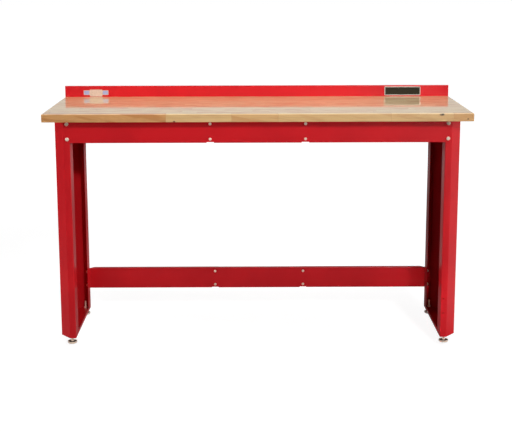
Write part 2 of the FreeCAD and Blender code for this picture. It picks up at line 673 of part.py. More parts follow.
def make_feet():
    """Make the four levelling feet, and the nuts that hold them in the leg panels."""
    for name, x, y in foot_places():
        make_foot_pad(f"{name}_foot_pad", x, y)
        make_foot_stud(f"{name}_foot_stud", x, y)
    weld_nut = nut_template("weld_nut", "Sizes.FootNut", "Sizes.WeldNutTall", "Sizes.StudDia")
    jam_nut = nut_template("jam_nut", "Sizes.FootNut", "Sizes.JamNutTall", "Sizes.StudDia")
    weld_places = [(x, y, FLANGE_TOP) for _, x, y in foot_places()]
    jam_places = [(x, y, JAM_NUT_LOW) for _, x, y in foot_places()]
    make_group("foot_weld_nuts", weld_nut, weld_places, (0, 0, 1), 0)
    make_group("foot_jam_nuts", jam_nut, jam_places, (0, 0, 1), 0)


# The three rails. face is the outside of the end sections' webs, turn the way
# their flanges point along Y, and laps the places of the lap bolts.
RAILS = (
    {
        "name": "front_apron", "face": f"({LEG_FRONT} - Sizes.RailWall)", "turn": BACKWARD,
        "low": APRON_LOW, "middle": APRON_MID, "laps": ("(-Sizes.ApronLap)", "Sizes.ApronLap"),
        "screwed": True,
    },
    {
        "name": "rear_apron", "face": f"({LEG_BACK} + Sizes.RailWall)", "turn": FORWARD,
        "low": APRON_LOW, "middle": APRON_MID, "laps": ("(-Sizes.ApronLap)", "Sizes.ApronLap"),
        "screwed": True,
    },
    {
        "name": "stretcher", "face": LEG_BACK, "turn": BACKWARD,
        "low": "Sizes.StretcherLow", "middle": STRETCHER_MID,
        "laps": ("(Sizes.StretcherShift - Sizes.StretcherLap)",
                 "(Sizes.StretcherShift + Sizes.StretcherLap)"),
        "screwed": False,
    },
)

TEMPLATES = ("leg_bolt", "lap_bolt", "leg_nut", "lap_nut", "wood_screw", "weld_nut", "jam_nut")


def pieces():
    """Return the finished pieces of the bench."""
    kinds = ("PartDesign::Body", "Part::Compound")
    return [item for item in doc.Objects if item.TypeId in kinds and item.Label not in TEMPLATES]


def check_and_write():
    """Stop on any failed object or bad shape, then write each piece to its own file."""
    for item in doc.Objects:
        if "Invalid" in item.State or "Error" in item.State:
            raise RuntimeError(f"{item.Label} failed: {item.State}")
    for piece in pieces():
        if piece.Shape.isNull() or not piece.Shape.isValid():
            raise RuntimeError(f"{piece.Label} has a bad shape")
    os.makedirs("parts", exist_ok=True)
    for piece in pieces():
        piece.Shape.exportStep(os.path.join("parts", f"{piece.Label}.step"))
        print(f"{piece.Label}: {len(piece.Shape.Solids)} solid, {piece.Shape.Volume:.0f} mm3")


make_sheet()
make_worktop()
make_backsplash()
make_leg_panel("left_leg_panel", LEFT)
make_leg_panel("right_leg_panel", RIGHT)
for rail_sizes in RAILS:
    for section in SECTIONS:
        make_rail_section(f"{rail_sizes['name']}_{section}", rail_sizes, section)
make_fasteners()
make_feet()
check_and_write()
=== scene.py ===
"""The looks of a wide steel workbench with a laminated hardwood top.

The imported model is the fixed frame: its sheet metal and its worktop stay and get
their finishes here. Bolts, nuts, screws and levelling feet are remade with
recesses, threads and chamfers. The backsplash gets its plate and its label, and
the stretcher the top flanges of its laps. Everything is in metres, in the frame's
own axes: +Z up, the bench's front faces -Y and +X is its right.

A name that ends in share is a share of a size named with it.
"""
from __future__ import annotations

import json
import logging
import math
from dataclasses import dataclass, field
from enum import Enum
from typing import Any, Callable, Sequence, Union

import bmesh
import bpy
from mathutils import Matrix, Vector

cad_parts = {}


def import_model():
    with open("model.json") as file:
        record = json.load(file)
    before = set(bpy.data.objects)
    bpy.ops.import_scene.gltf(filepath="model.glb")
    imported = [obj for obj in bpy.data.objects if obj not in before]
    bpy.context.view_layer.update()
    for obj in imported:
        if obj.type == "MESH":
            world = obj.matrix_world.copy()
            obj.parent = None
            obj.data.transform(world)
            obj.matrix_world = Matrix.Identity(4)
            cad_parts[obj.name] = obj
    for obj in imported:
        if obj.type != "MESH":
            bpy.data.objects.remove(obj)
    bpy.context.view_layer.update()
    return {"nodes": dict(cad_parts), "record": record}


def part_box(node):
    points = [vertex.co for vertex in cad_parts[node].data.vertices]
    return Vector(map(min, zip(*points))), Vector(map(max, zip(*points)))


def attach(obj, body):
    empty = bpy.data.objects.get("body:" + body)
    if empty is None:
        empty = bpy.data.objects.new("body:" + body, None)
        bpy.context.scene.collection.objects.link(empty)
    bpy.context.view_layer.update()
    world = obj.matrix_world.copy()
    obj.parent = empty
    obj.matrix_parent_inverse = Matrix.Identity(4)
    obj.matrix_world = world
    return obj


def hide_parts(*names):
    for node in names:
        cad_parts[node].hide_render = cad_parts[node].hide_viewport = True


LOG = logging.getLogger("workbench")
MM = 0.001
QUARTER = math.pi / 2

Colour = tuple[float, float, float]
Point = tuple[float, float, float]
Pair = tuple[float, float]
Number = Union[float, "Signal"]
Outline = Callable[[float], float]
Corners = Sequence["bmesh.types.BMVert"]


class Slot(Enum):
    """The record's material slots."""

    HARDWOOD = "hardwood"
    RED_COAT = "red_coat"
    ZINC = "zinc"


class Side(Enum):
    """Which way a row of fasteners points, as a turn that takes +Z there."""

    FRONT = (QUARTER, 0.0, 0.0)
    BACK = (-QUARTER, 0.0, 0.0)
    UP = (0.0, 0.0, 0.0)
    DOWN = (math.pi, 0.0, 0.0)

    @property
    def opposite(self) -> "Side":
        """Return the side across from this one."""
        return {Side.FRONT: Side.BACK, Side.BACK: Side.FRONT, Side.UP: Side.DOWN, Side.DOWN: Side.UP}[self]


class NodeSheet:
    """Builds the nodes of one material or world."""

    # The sockets of a Mix node that mixes colours
    MIX_SHARE, MIX_FIRST, MIX_SECOND, MIX_RESULT = 0, 6, 7, 2

    def __init__(self, owner: Union[bpy.types.Material, bpy.types.World], output: str) -> None:
        """Empty the owner's tree and give it an output of this type.

        Args:
            owner: The material or world to build in.
            output: The type of its output node.
        """
        owner.use_nodes = True
        self.tree = owner.node_tree
        self.tree.nodes.clear()
        self.output = self.tree.nodes.new(output)

    def node(self, kind: str, settings: dict[str, Any] | None = None,
             sockets: dict[Union[str, int], Any] | None = None) -> bpy.types.Node:
        """Add a node.

        Args:
            kind: The node's type.
            settings: Its settings, set before its sockets.
            sockets: Values or links for its sockets, by name or number.

        Returns:
            The new node.
        """
        made = self.tree.nodes.new(kind)
        for name, value in (settings or {}).items():
            setattr(made, name, value)
        for name, value in (sockets or {}).items():
            self.feed(made.inputs[name], value)
        return made

    def feed(self, socket: bpy.types.NodeSocket, value: Any) -> None:
        """Link a signal to a socket, or set the socket's value.

        Args:
            socket: The socket to feed.
            value: A signal, a number, or a colour without its alpha.
        """
        if isinstance(value, Signal):
            self.tree.links.new(value.socket, socket)
        elif isinstance(value, tuple) and len(value) == 3:
            socket.default_value = (*value, 1.0)
        else:
            socket.default_value = value

    def read(self, kind: str, output: Union[str, int] = 0, settings: dict[str, Any] | None = None,
             sockets: dict[Union[str, int], Any] | None = None) -> "Signal":
        """Add a node and return one of its outputs as a signal."""
        return Signal(self, self.node(kind, settings, sockets).outputs[output])

    def close(self, node: bpy.types.Node) -> None:
        """Join a node's first output to the output's surface."""
        self.tree.links.new(node.outputs[0], self.output.inputs["Surface"])

    def place(self) -> "Signal":
        """Return the place on the object, in metres."""
        return self.read("ShaderNodeTexCoord", "Object")

    def split(self, vector: "Signal") -> tuple["Signal", "Signal", "Signal"]:
        """Return a vector's three parts."""
        parts = self.node("ShaderNodeSeparateXYZ", sockets={0: vector})
        return tuple(Signal(self, parts.outputs[index]) for index in range(3))

    def join(self, x: Number, y: Number, z: Number) -> "Signal":
        """Return a vector made of three parts."""
        return self.read("ShaderNodeCombineXYZ", sockets={0: x, 1: y, 2: z})

    def noise(self, where: "Signal", scale: float = 1.0, detail: float = 2.0, rough: float = 0.5) -> "Signal":
        """Return smooth noise from 0 to 1, mostly near the middle."""
        return self.read("ShaderNodeTexNoise", "Fac",
                         sockets={"Vector": where, "Scale": scale, "Detail": detail, "Roughness": rough})

    def hashed(self, *where: Number) -> "Signal":
        """Return an even random number from 0 to 1 for three whole numbers."""
        return self.read("ShaderNodeTexWhiteNoise", "Value", sockets={"Vector": self.join(*where)})

    def blend(self, share: Number, first: Any, second: Any) -> "Signal":
        """Mix two colours by a share of the second."""
        sockets = {self.MIX_SHARE: share, self.MIX_FIRST: first, self.MIX_SECOND: second}
        return self.read("ShaderNodeMix", self.MIX_RESULT, {"data_type": "RGBA"}, sockets)

    def span(self, value: "Signal", low: float, high: float, to_low: float = 0.0,
             to_high: float = 1.0) -> "Signal":
        """Map a range smoothly and evenly onto another, and stay inside it."""
        return self.read("ShaderNodeMapRange", 0, {"interpolation_type": "SMOOTHSTEP"},
                         {0: value, 1: low, 2: high, 3: to_low, 4: to_high})

    def maths(self, operation: str, first: Number, second: Number = 0.0) -> "Signal":
        """Add one Math node for one or two numbers."""
        return self.read("ShaderNodeMath", 0, {"operation": operation}, {0: first, 1: second})

    def sway(self, noise: "Signal", middle: float, spread: float) -> "Signal":
        """Return a number that sways about its middle with a noise."""
        return noise * spread + (middle - spread / 2)

    def bump(self, height: "Signal", strength: float, distance: float) -> "Signal":
        """Turn a height into a normal."""
        return self.read("ShaderNodeBump", "Normal",
                         sockets={"Height": height, "Strength": strength, "Distance": distance})


class Shader(NodeSheet):
    """Builds one material."""

    def __init__(self, name: str) -> None:
        """Start an empty material of this name."""
        self.material = bpy.data.materials.new(name)
        super().__init__(self.material, "ShaderNodeOutputMaterial")

    def finish(self, **sockets: Any) -> bpy.types.Material:
        """Close the tree with a principled surface.

        Args:
            sockets: The surface's sockets, with underscores for spaces.

        Returns:
            The finished material.
        """
        named = {name.replace("_", " "): value for name, value in sockets.items()}
        self.close(self.node("ShaderNodeBsdfPrincipled", None, named))
        return self.material


@dataclass(frozen=True)
class Signal:
    """One output socket, on which sums are written as plain expressions."""

    sheet: NodeSheet
    socket: bpy.types.NodeSocket

    def __add__(self, other: Number) -> "Signal":
        """Return the sum."""
        return self.sheet.maths("ADD", self, other)

    def __radd__(self, other: Number) -> "Signal":
        """Return the sum, with the number first."""
        return self.sheet.maths("ADD", other, self)

    def __sub__(self, other: Number) -> "Signal":
        """Return the difference."""
        return self.sheet.maths("SUBTRACT", self, other)

    def __rsub__(self, other: Number) -> "Signal":
        """Return the difference, with the number first."""
        return self.sheet.maths("SUBTRACT", other, self)

    def __mul__(self, other: Number) -> "Signal":
        """Return the product."""
        return self.sheet.maths("MULTIPLY", self, other)

    def __rmul__(self, other: Number) -> "Signal":
        """Return the product, with the number first."""
        return self.sheet.maths("MULTIPLY", other, self)

    def __truediv__(self, other: Number) -> "Signal":
        """Return the quotient."""
        return self.sheet.maths("DIVIDE", self, other)

    def __rtruediv__(self, other: Number) -> "Signal":
        """Return the quotient, with the number first."""
        return self.sheet.maths("DIVIDE", other, self)

    def __pow__(self, other: Number) -> "Signal":
        """Return the power."""
        return self.sheet.maths("POWER", self, other)

    def floor(self) -> "Signal":
        """Return the whole number below."""
        return self.sheet.maths("FLOOR", self)

    def sine(self) -> "Signal":
        """Return the sine."""
        return self.sheet.maths("SINE", self)

    def absolute(self) -> "Signal":
        """Return the size without its sign."""
        return self.sheet.maths("ABSOLUTE", self)

    def below(self, other: Number) -> "Signal":
        """Return 1 where this is less, and 0 elsewhere."""
        return self.sheet.maths("LESS_THAN", self, other)

    def smaller(self, other: Number) -> "Signal":
        """Return the smaller of this and another."""
        return self.sheet.maths("MINIMUM", self, other)

    def larger(self, other: Number) -> "Signal":
        """Return the larger of this and another."""
        return self.sheet.maths("MAXIMUM", self, other)


@dataclass(frozen=True)
class PowderCoat:
    """Glossy red powder coat on sheet steel, with the fine ripple that baking leaves."""

    colour: Colour = (0.54, 0.010, 0.015)
    worn_colour: Colour = (0.49, 0.009, 0.014)
    roughness: float = 0.24
    roughness_spread: float = 0.06
    gloss: float = 0.26
    cloud_per_metre: float = 5.0
    cloud_detail: float = 3.0
    cloud_edges: Pair = (0.35, 0.65)
    ripple_per_metre: float = 420.0
    ripple_detail: float = 1.0
    ripple_strength: float = 0.5
    ripple_tall: float = 0.06 * MM

    def material(self) -> bpy.types.Material:
        """Return the coat's material.

        Returns:
            The finished material.
        """
        shader = Shader("red_coat")
        place = shader.place()
        clouds = shader.noise(place, self.cloud_per_metre, self.cloud_detail)
        ripple = shader.noise(place, self.ripple_per_metre, self.ripple_detail)
        return shader.finish(
            Base_Color=shader.blend(shader.span(clouds, *self.cloud_edges), self.colour, self.worn_colour),
            Roughness=shader.sway(clouds, self.roughness, self.roughness_spread),
            Specular_IOR_Level=self.gloss,
            Normal=shader.bump(ripple, self.ripple_strength, self.ripple_tall),
        )


@dataclass(frozen=True)
class ZincPlate:
    """Bright zinc plating, with a faint straw bloom and fine machining lines."""

    colour: Colour = (0.94, 0.81, 0.71)
    straw: Colour = (0.90, 0.72, 0.55)
    metallic: float = 0.35
    roughness: float = 0.32
    roughness_spread: float = 0.16
    bloom_per_metre: float = 90.0
    bloom_edges: Pair = (0.4, 0.65)
    grit_per_metre: float = 1400.0
    grit_strength: float = 0.3
    grit_tall: float = 0.03 * MM

    def material(self) -> bpy.types.Material:
        """Return the plating's material.

        Returns:
            The finished material.
        """
        shader = Shader("zinc")
        place = shader.place()
        bloom = shader.span(shader.noise(place, self.bloom_per_metre), *self.bloom_edges)
        grit = shader.noise(place, self.grit_per_metre)
        return shader.finish(
            Base_Color=shader.blend(bloom, self.colour, self.straw),
            Metallic=self.metallic,
            Roughness=shader.sway(grit, self.roughness, self.roughness_spread),
            Normal=shader.bump(grit, self.grit_strength, self.grit_tall),
        )


@dataclass(frozen=True)
class Lacquer:
    """A plain coloured finish with a faint mottling, for the plate, the label and the painted shade in the
    pads' dishes.
    """

    name: str
    colour: Colour
    roughness: float
    metallic: float = 0.0
    gloss: float = 0.5
    roughness_spread: float = 0.12
    dark_share: float = 0.86
    mottle_per_metre: float = 260.0
    mottle_edges: Pair = (0.35, 0.65)
    mottle_strength: float = 0.2
    mottle_tall: float = 0.04 * MM

    def material(self) -> bpy.types.Material:
        """Return the finish's material.

        Returns:
            The finished material.
        """
        shader = Shader(self.name)
        mottling = shader.noise(shader.place(), self.mottle_per_metre)
        darker = tuple(part * self.dark_share for part in self.colour)
        return shader.finish(
            Base_Color=shader.blend(shader.span(mottling, *self.mottle_edges), self.colour, darker),
            Metallic=self.metallic,
            Specular_IOR_Level=self.gloss,
            Roughness=shader.sway(mottling, self.roughness, self.roughness_spread),
            Normal=shader.bump(mottling, self.mottle_strength, self.mottle_tall),
        )


@dataclass(frozen=True)
class Knot:
    """One knot that shows on the worktop's front edge."""

    x: float
    z: float
    wide: float
    tall: float


@dataclass(frozen=True)
class Grain:
    """One fine dark layer of the wood's figure, drawn out along the staves."""

    along_per_metre: float
    across_per_metre: float
    edges: Pair
    share: float
    detail: float = 2.0
    rough: float = 0.5

    def noise(self, shader: Shader, x: Signal, y: Signal, z: Signal) -> Signal:
        """Return the layer's noise at a place.

        Args:
            shader: The shader to draw in.
            x: The place along X.
            y: The place along Y.
            z: The height.

        Returns:
            The noise, from 0 to 1.
        """
        across = self.across_per_metre
        return shader.noise(shader.join(x * self.along_per_metre, y * across, z * across),
                            detail=self.detail, rough=self.rough)


@dataclass(frozen=True)
class Hardwood:
    """Lacquered hardwood, glued up from staves of odd lengths.

    The figure is solid: rings round a pith of each piece's own show as lines on
    the top, as flames on the front and as arcs on the ends.
    """

    stave: float = 38.1 * MM
    piece: float = 0.46
    glue_line: float = 0.5 * MM
    straw: Colour = (0.86, 0.620, 0.285)
    blond: Colour = (0.82, 0.70, 0.45)
    honey: Colour = (1.0, 0.74, 0.36)
    amber: Colour = (0.82, 0.410, 0.145)
    flame: Colour = (0.52, 0.175, 0.045)
    deep: Colour = (0.34, 0.150, 0.050)
    knot_colour: Colour = (0.055, 0.024, 0.010)
    tone_spread: float = 0.72
    blond_share: float = 0.40
    # Each flame or honey share is this at no tone, and changes by this much up to full tone
    honey_shares: Pair = (0.01, 0.60)
    flame_shares: Pair = (0.64, -0.48)
    ring_share: float = 0.13
    seam_share: float = 0.45
    butt_share: float = 0.60
    # A butt joint's width, in glue lines
    butt_lines: float = 1.5
    # The front stave's joints along X, and each piece's share of straw, from the left
    front_joints: tuple[float, ...] = (-0.389, -0.111, 0.086, 0.564, 0.829)
    front_shares: tuple[float, ...] = (0.10, 1.0, 0.55, 0.80, 0.74, 0.34)
    knots: tuple[Knot, ...] = (
        Knot(-0.354, 1.0085, 0.0055, 0.0040), Knot(0.782, 1.0365, 0.0060, 0.0042),
        Knot(0.778, 1.0350, 0.0105, 0.0045), Knot(0.889, 1.0165, 0.0045, 0.0030),
    )
    knot_deep_share: float = 1.5
    knot_edges: Pair = (0.5, 1.3)
    knot_share: float = 0.85
    streaks: Grain = Grain(3.0, 150.0, (0.45, 0.75), 0.18)
    fibre: Grain = Grain(14.0, 900.0, (0.42, 0.72), 0.16, rough=0.6)
    pores: Grain = Grain(60.0, 2400.0, (0.60, 0.75), 0.16, detail=1.0)
    flames_per_metre: Point = (6.5, 40.0, 48.0)
    flame_climb: float = 9.0
    flame_jump: float = 30.0
    flame_detail: float = 1.5
    flame_edges: Pair = (0.44, 0.62)
    ring: float = 5.2 * MM
    pith_height: float = 1.0
    pith_lowest: float = 0.35
    pith_range: Pair = (0.10, 0.16)
    pith_slope: float = 0.04
    wave_range: Pair = (0.06, 0.05)
    waves_per_metre: Point = (2.2, 6.0, 6.0)
    wave_scale: float = 2.2
    wave_jump: float = 40.0
    # The length of a piece along a row sways with this noise, and each row starts elsewhere
    sway_per_metre: float = 1.6
    sway_pieces: float = 1.3
    row_pieces: float = 9.0
    # What keeps the rows' random numbers apart
    sway_seed: float = 11.3
    row_seeds: Pair = (3.7, 1.3)
    tone_seed: float = 0.5
    shift_seed: float = 8.5
    lean_seed: float = 4.5
    roughness: Pair = (0.41, 0.14)
    gloss: float = 0.3
    coat: Pair = (0.90, 0.5)
    coat_roughness: float = 0.05
    coat_ior: float = 1.5
    fibre_strength: float = 0.10
    fibre_tall: float = 0.05 * MM
    far_off: float = 9.0

    def material(self, front: float) -> bpy.types.Material:
        """Return the wood's material.

        Args:
            front: The worktop's front face, along Y.

        Returns:
            The finished material.
        """
        shader = Shader("hardwood")
        x, y, z = shader.split(shader.place())
        row_place = (y - front) / self.stave
        row = row_place.floor()
        piece, tone, butt, behind = self._pieces(shader, x, row)
        layers = [(grain, grain.noise(shader, x, y, z)) for grain in (self.streaks, self.fibre, self.pores)]
        streaks, fibre = layers[0][1], layers[1][1]

        along, back, up = self.flames_per_metre
        flame_place = shader.join(x * along + tone * self.flame_jump, y * back, z * up + x * self.flame_climb)
        flames = shader.span(shader.noise(flame_place, detail=self.flame_detail), *self.flame_edges)
        least_honey, more_honey = self.honey_shares
        most_flame, more_flame = self.flame_shares
        colour = shader.blend(tone, self.amber, self.straw)
        colour = shader.blend(behind * self.blond_share, colour, self.blond)
        colour = shader.blend((1 - behind) * (tone * more_honey + least_honey), colour, self.honey)
        colour = shader.blend(flames * (tone * more_flame + most_flame), colour, self.flame)
        rings = self._rings(shader, (x, y - front - row * self.stave, z, y), (row, piece, tone))
        colour = shader.blend(rings * self.ring_share, colour, self.deep)
        for grain, noise in layers:
            colour = shader.blend(shader.span(noise, *grain.edges) * grain.share, colour, self.deep)

        edge = (row_place - row - 0.5).absolute()
        seam = shader.span(edge, 0.5 - self.glue_line / self.stave, 0.5)
        colour = shader.blend(seam * self.seam_share, colour, self.deep)
        end = shader.span(butt, 0.0, self.glue_line * self.butt_lines, self.butt_share, 0.0)
        colour = shader.blend(end, colour, self.deep)
        for knot in self.knots:
            across = (x - knot.x) / knot.wide
            rise = (z - knot.z) / knot.tall
            inward = (y - front) / (knot.wide * self.knot_deep_share)
            away = (across * across + rise * rise + inward * inward) ** 0.5
            shade = shader.span(away, *self.knot_edges, self.knot_share, 0.0)
            colour = shader.blend(shade, colour, self.knot_colour)
        return shader.finish(
            Base_Color=colour,
            Roughness=shader.sway(fibre, *self.roughness),
            Specular_IOR_Level=self.gloss,
            Coat_Weight=shader.sway(streaks, *self.coat),
            Coat_Roughness=self.coat_roughness,
            Coat_IOR=self.coat_ior,
            Normal=shader.bump(fibre, self.fibre_strength, self.fibre_tall),
        )

    def _rings(self, shader: Shader, place: tuple[Signal, ...], which: tuple[Signal, ...]) -> Signal:
        """Draw the yearly rings round each piece's own pith.

        Args:
            shader: The shader to draw in.
            place: The place along X, the depth in its stave, the height and the place along Y.
            which: The stave's number, the piece's number and its tone.

        Returns:
            The rings, from 0 to 1.
        """
        x, inside, z, y = place
        row, piece, tone = which
        shift = shader.hashed(row, piece, self.shift_seed) - 0.5
        lean = shader.hashed(row, piece, self.lean_seed) - self.pith_lowest
        along, back, up = self.waves_per_metre
        wave_place = shader.join(x * along, y * back, z * up + tone * self.wave_jump)
        waves = shader.noise(wave_place, self.wave_scale) - 0.5
        ring_y = inside + shift * self.pith_range[0] + waves * self.wave_range[0]
        ring_z = z - self.pith_height + lean * self.pith_range[1] + waves * self.wave_range[1]
        ring_z = ring_z + x * shift * self.pith_slope
        radius = (ring_y * ring_y + ring_z * ring_z) ** 0.5
        return (radius * (math.tau / self.ring)).sine() * 0.5 + 0.5

    def _pieces(self, shader: Shader, x: Signal, row: Signal) -> tuple[Signal, ...]:
        """Cut the staves into pieces: the front stave at listed joints, and the others by chance.

        Args:
            shader: The shader to draw in.
            x: The place along X.
            row: The stave's number, from the front.

        Returns:
            The piece's number, its share of straw, the distance to its nearest end, and 1
            behind the front stave.
        """
        row_random = shader.hashed(row, *self.row_seeds)
        sway = shader.noise(shader.join(x, row * self.sway_seed, 0.0), self.sway_per_metre, 0.0)
        along = x / self.piece + row_random * self.row_pieces + sway * self.sway_pieces
        number = along.floor()
        tone = shader.hashed(row, number, self.tone_seed) * self.tone_spread + (1 - self.tone_spread)
        butt = (0.5 - (along - number - 0.5).absolute()) * self.piece

        front_number, front_tone, front_butt = 0.0, self.front_shares[0], self.far_off
        for joint, last, share in zip(self.front_joints, self.front_shares, self.front_shares[1:]):
            past = 1 - x.below(joint)
            front_number = past + front_number
            front_tone = past * (share - last) + front_tone
            front_butt = (x - joint).absolute().smaller(front_butt)
        front_row = row.below(0.5)
        behind = 1 - front_row
        chosen = [
            front_row * ahead + behind * other
            for ahead, other in ((front_number, number), (front_tone, tone), (front_butt, butt))
        ]
        return (*chosen, behind)


@dataclass
class Box:
    """The lowest and highest corner of a solid."""

    low: Vector
    high: Vector

    @property
    def centre(self) -> Vector:
        """Return the middle of the box."""
        return (self.low + self.high) / 2

    @property
    def size(self) -> Vector:
        """Return the box's three sides."""
        return self.high - self.low

    def end(self, side: Side) -> Vector:
        """Return the middle of the box's face on one side.

        Args:
            side: The side that the face looks to.

        Returns:
            The middle of that face.
        """
        middle = self.centre
        if side in (Side.FRONT, Side.BACK):
            middle.y = self.low.y if side is Side.FRONT else self.high.y
        else:
            middle.z = self.low.z if side is Side.DOWN else self.high.z
        return middle


class Solids:
    """Finds the separate solids of a node of the frame."""

    TOUCHING = 1e-6
    SORTED_PLACES = 4

    @classmethod
    def of(cls, node: bpy.types.Object) -> list[Box]:
        """Return the box of each solid in a node, from left to right, back and up.

        Args:
            node: The frame's node.

        Returns:
            The boxes in order.
        """
        mesh = bmesh.new()
        mesh.from_mesh(node.data)
        bmesh.ops.remove_doubles(mesh, verts=mesh.verts, dist=cls.TOUCHING)
        boxes = []
        waiting = set(mesh.verts)
        while waiting:
            boxes.append(cls._grow(waiting))
        mesh.free()
        return sorted(boxes, key=lambda box: tuple(round(part, cls.SORTED_PLACES) for part in box.centre))

    @staticmethod
    def _grow(waiting: set[bmesh.types.BMVert]) -> Box:
        """Take one joined group out of the waiting corners.

        Args:
            waiting: The corners that no box holds yet.

        Returns:
            The group's box.
        """
        edge = [waiting.pop()]
        low, high = edge[0].co.copy(), edge[0].co.copy()
        while edge:
            corner = edge.pop()
            low = Vector(map(min, low, corner.co))
            high = Vector(map(max, high, corner.co))
            for link in corner.link_edges:
                other = link.other_vert(corner)
                if other in waiting:
                    waiting.discard(other)
                    edge.append(other)
        return Box(low, high)


def in_scene(name: str, data: Any) -> bpy.types.Object:
    """Return a new object in the scene for this data.

    Args:
        name: The object's name.
        data: Its mesh, lamp or camera.

    Returns:
        The new object.
    """
    made = bpy.data.objects.new(name, data)
    bpy.context.scene.collection.objects.link(made)
    return made


def as_object(mesh: bmesh.types.BMesh, name: str,
              finishes: Sequence[bpy.types.Material] = ()) -> bpy.types.Object:
    """Turn a finished mesh into an object in the scene.

    Args:
        mesh: The mesh, which is used up.
        name: The name of the object and of its data.
        finishes: The object's materials.

    Returns:
        The new object.
    """
    data = bpy.data.meshes.new(name)
    mesh.to_mesh(data)
    mesh.free()
    for finish in finishes:
        data.materials.append(finish)
    return in_scene(name, data)


def hand_over(piece: bpy.types.Object, body: str, slot: Slot, node: str | None = None) -> None:
    """Let a finished piece ride on its body.

    Args:
        piece: The piece.
        body: The body that it moves with.
        slot: The record's slot that it belongs to; not used.
        node: The node that it replaces, if any.
    """
    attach(piece, body)
    if node is not None:
        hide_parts(node)
    LOG.info("%s made", piece.name)


def arc(steps: int, turn: float = QUARTER) -> list[float]:
    """Return even angles from nothing to a turn, with both ends."""
    return [turn * index / steps for index in range(steps + 1)]


def band(mesh: bmesh.types.BMesh, first: Corners, second: Corners) -> list[bmesh.types.BMFace]:
    """Join two rings of corners with a band of faces.

    Args:
        mesh: The mesh that holds them.
        first: The corners of one ring.
        second: As many corners of the next.

    Returns:
        The new faces.
    """
    faces = []
    for index in range(len(first)):
        after = (index + 1) % len(first)
        faces.append(mesh.faces.new((first[index], first[after], second[after], second[index])))
    return faces


class Turning:
    """Builds a closed shape from rings of corners round the Z axis."""

    TOUCHING = 1e-7
    SMOOTH_BELOW = 0.6

    def __init__(self, segments: int) -> None:
        """Start a shape whose rings have this many corners.

        Args:
            segments: The number of corners.
        """
        self.segments = segments
        self.mesh = bmesh.new()
        self.last: list[bmesh.types.BMVert] = []

    def ring(self, radius: Union[float, Outline], height: Union[float, Outline]) -> None:
        """Add a ring and join it to the one before.

        Args:
            radius: The ring's radius, or its radius for an angle.
            height: The ring's height, or its height for an angle.
        """
        corners = []
        for index in range(self.segments):
            angle = math.tau * index / self.segments
            wide = radius(angle) if callable(radius) else radius
            tall = height(angle) if callable(height) else height
            corners.append(self.mesh.verts.new((wide * math.cos(angle), wide * math.sin(angle), tall)))
        if self.last:
            band(self.mesh, self.last, corners)
        self.last = corners

    def rings(self, *places: tuple[Union[float, Outline], Union[float, Outline]]) -> None:
        """Add a ring for each pair of a radius and a height."""
        for radius, height in places:
            self.ring(radius, height)

    def _fan(self, corners: Corners, height: float) -> None:
        """Join a ring to a point on the axis.

        Args:
            corners: The ring's corners.
            height: The point's height.
        """
        tip = self.mesh.verts.new((0.0, 0.0, height))
        for index in range(self.segments):
            self.mesh.faces.new((corners[index], corners[(index + 1) % self.segments], tip))

    def start(self, height: float, radius: float, ring_height: float) -> None:
        """Open the shape with a fan from a point on the axis to its first ring."""
        self.ring(radius, ring_height)
        self._fan(self.last[::-1], height)

    def cap(self, height: float) -> None:
        """Close the shape with a fan to a point on the axis."""
        self._fan(self.last, height)
        self.last = []

    def close(self, first: Corners) -> None:
        """Join the last ring to the first, as on a nut."""
        band(self.mesh, self.last, first)

    def done(self, name: str, smooth_below: float = SMOOTH_BELOW,
             finishes: Sequence[bpy.types.Material] = ()) -> bpy.types.Object:
        """Return the shape as an object, smooth but for its sharp edges.

        Args:
            name: The object's name.
            smooth_below: The largest turn between faces, in radians, that stays smooth.
            finishes: The object's materials.

        Returns:
            The new object.
        """
        bmesh.ops.remove_doubles(self.mesh, verts=self.mesh.verts, dist=self.TOUCHING)
        bmesh.ops.recalc_face_normals(self.mesh, faces=self.mesh.faces)
        for face in self.mesh.faces:
            face.smooth = True
        for edge in self.mesh.edges:
            edge.smooth = edge.calc_face_angle(math.pi) < smooth_below
        return as_object(self.mesh, name, finishes)


def hexagon(across: float) -> Outline:
    """Return the radius of a hexagon of this width across its flats, for an angle.

    Args:
        across: The width across the flats.

    Returns:
        What gives the radius at an angle.
    """
    sector = math.pi / 3

    def radius(angle: float) -> float:
        """Return the distance to the hexagon's side at this angle."""
        return across / 2 / math.cos((angle + sector / 2) % sector - sector / 2)

    return radius


@dataclass(frozen=True)
class Thread:
    """A single-start thread cut into a round bar along Z, shallower at its ends."""

    diameter: float
    pitch: float
    steps: int = 6
    depth_share: float = 0.54
    flank_share: float = 1.15
    end_share: float = 0.35

    def cut(self, shape: Turning, low: float, high: float) -> None:
        """Add the rings of a threaded length to a shape.

        Args:
            shape: The shape to go on with.
            low: Where the thread starts.
            high: Where it ends.
        """
        outer = self.diameter / 2
        depth = self.pitch * self.depth_share
        count = max(2, round((high - low) / self.pitch * self.steps))
        for index in range(count + 1):
            height = low + (high - low) * index / count
            fade = min(1.0, (height - low) / self.pitch, (high - height) / self.pitch)
            full = depth * (self.end_share + (1 - self.end_share) * fade)

            def radius(angle: float) -> float:
                """Return the thread's surface at this angle.

                Args:
                    angle: The angle round the axis.

                Returns:
                    The radius there.
                """
                turn = (height / self.pitch - angle / math.tau) % 1.0
                groove = 1.0 - abs(turn * 2.0 - 1.0)
                return outer - full * min(1.0, groove * self.flank_share)

            shape.ring(radius, height)


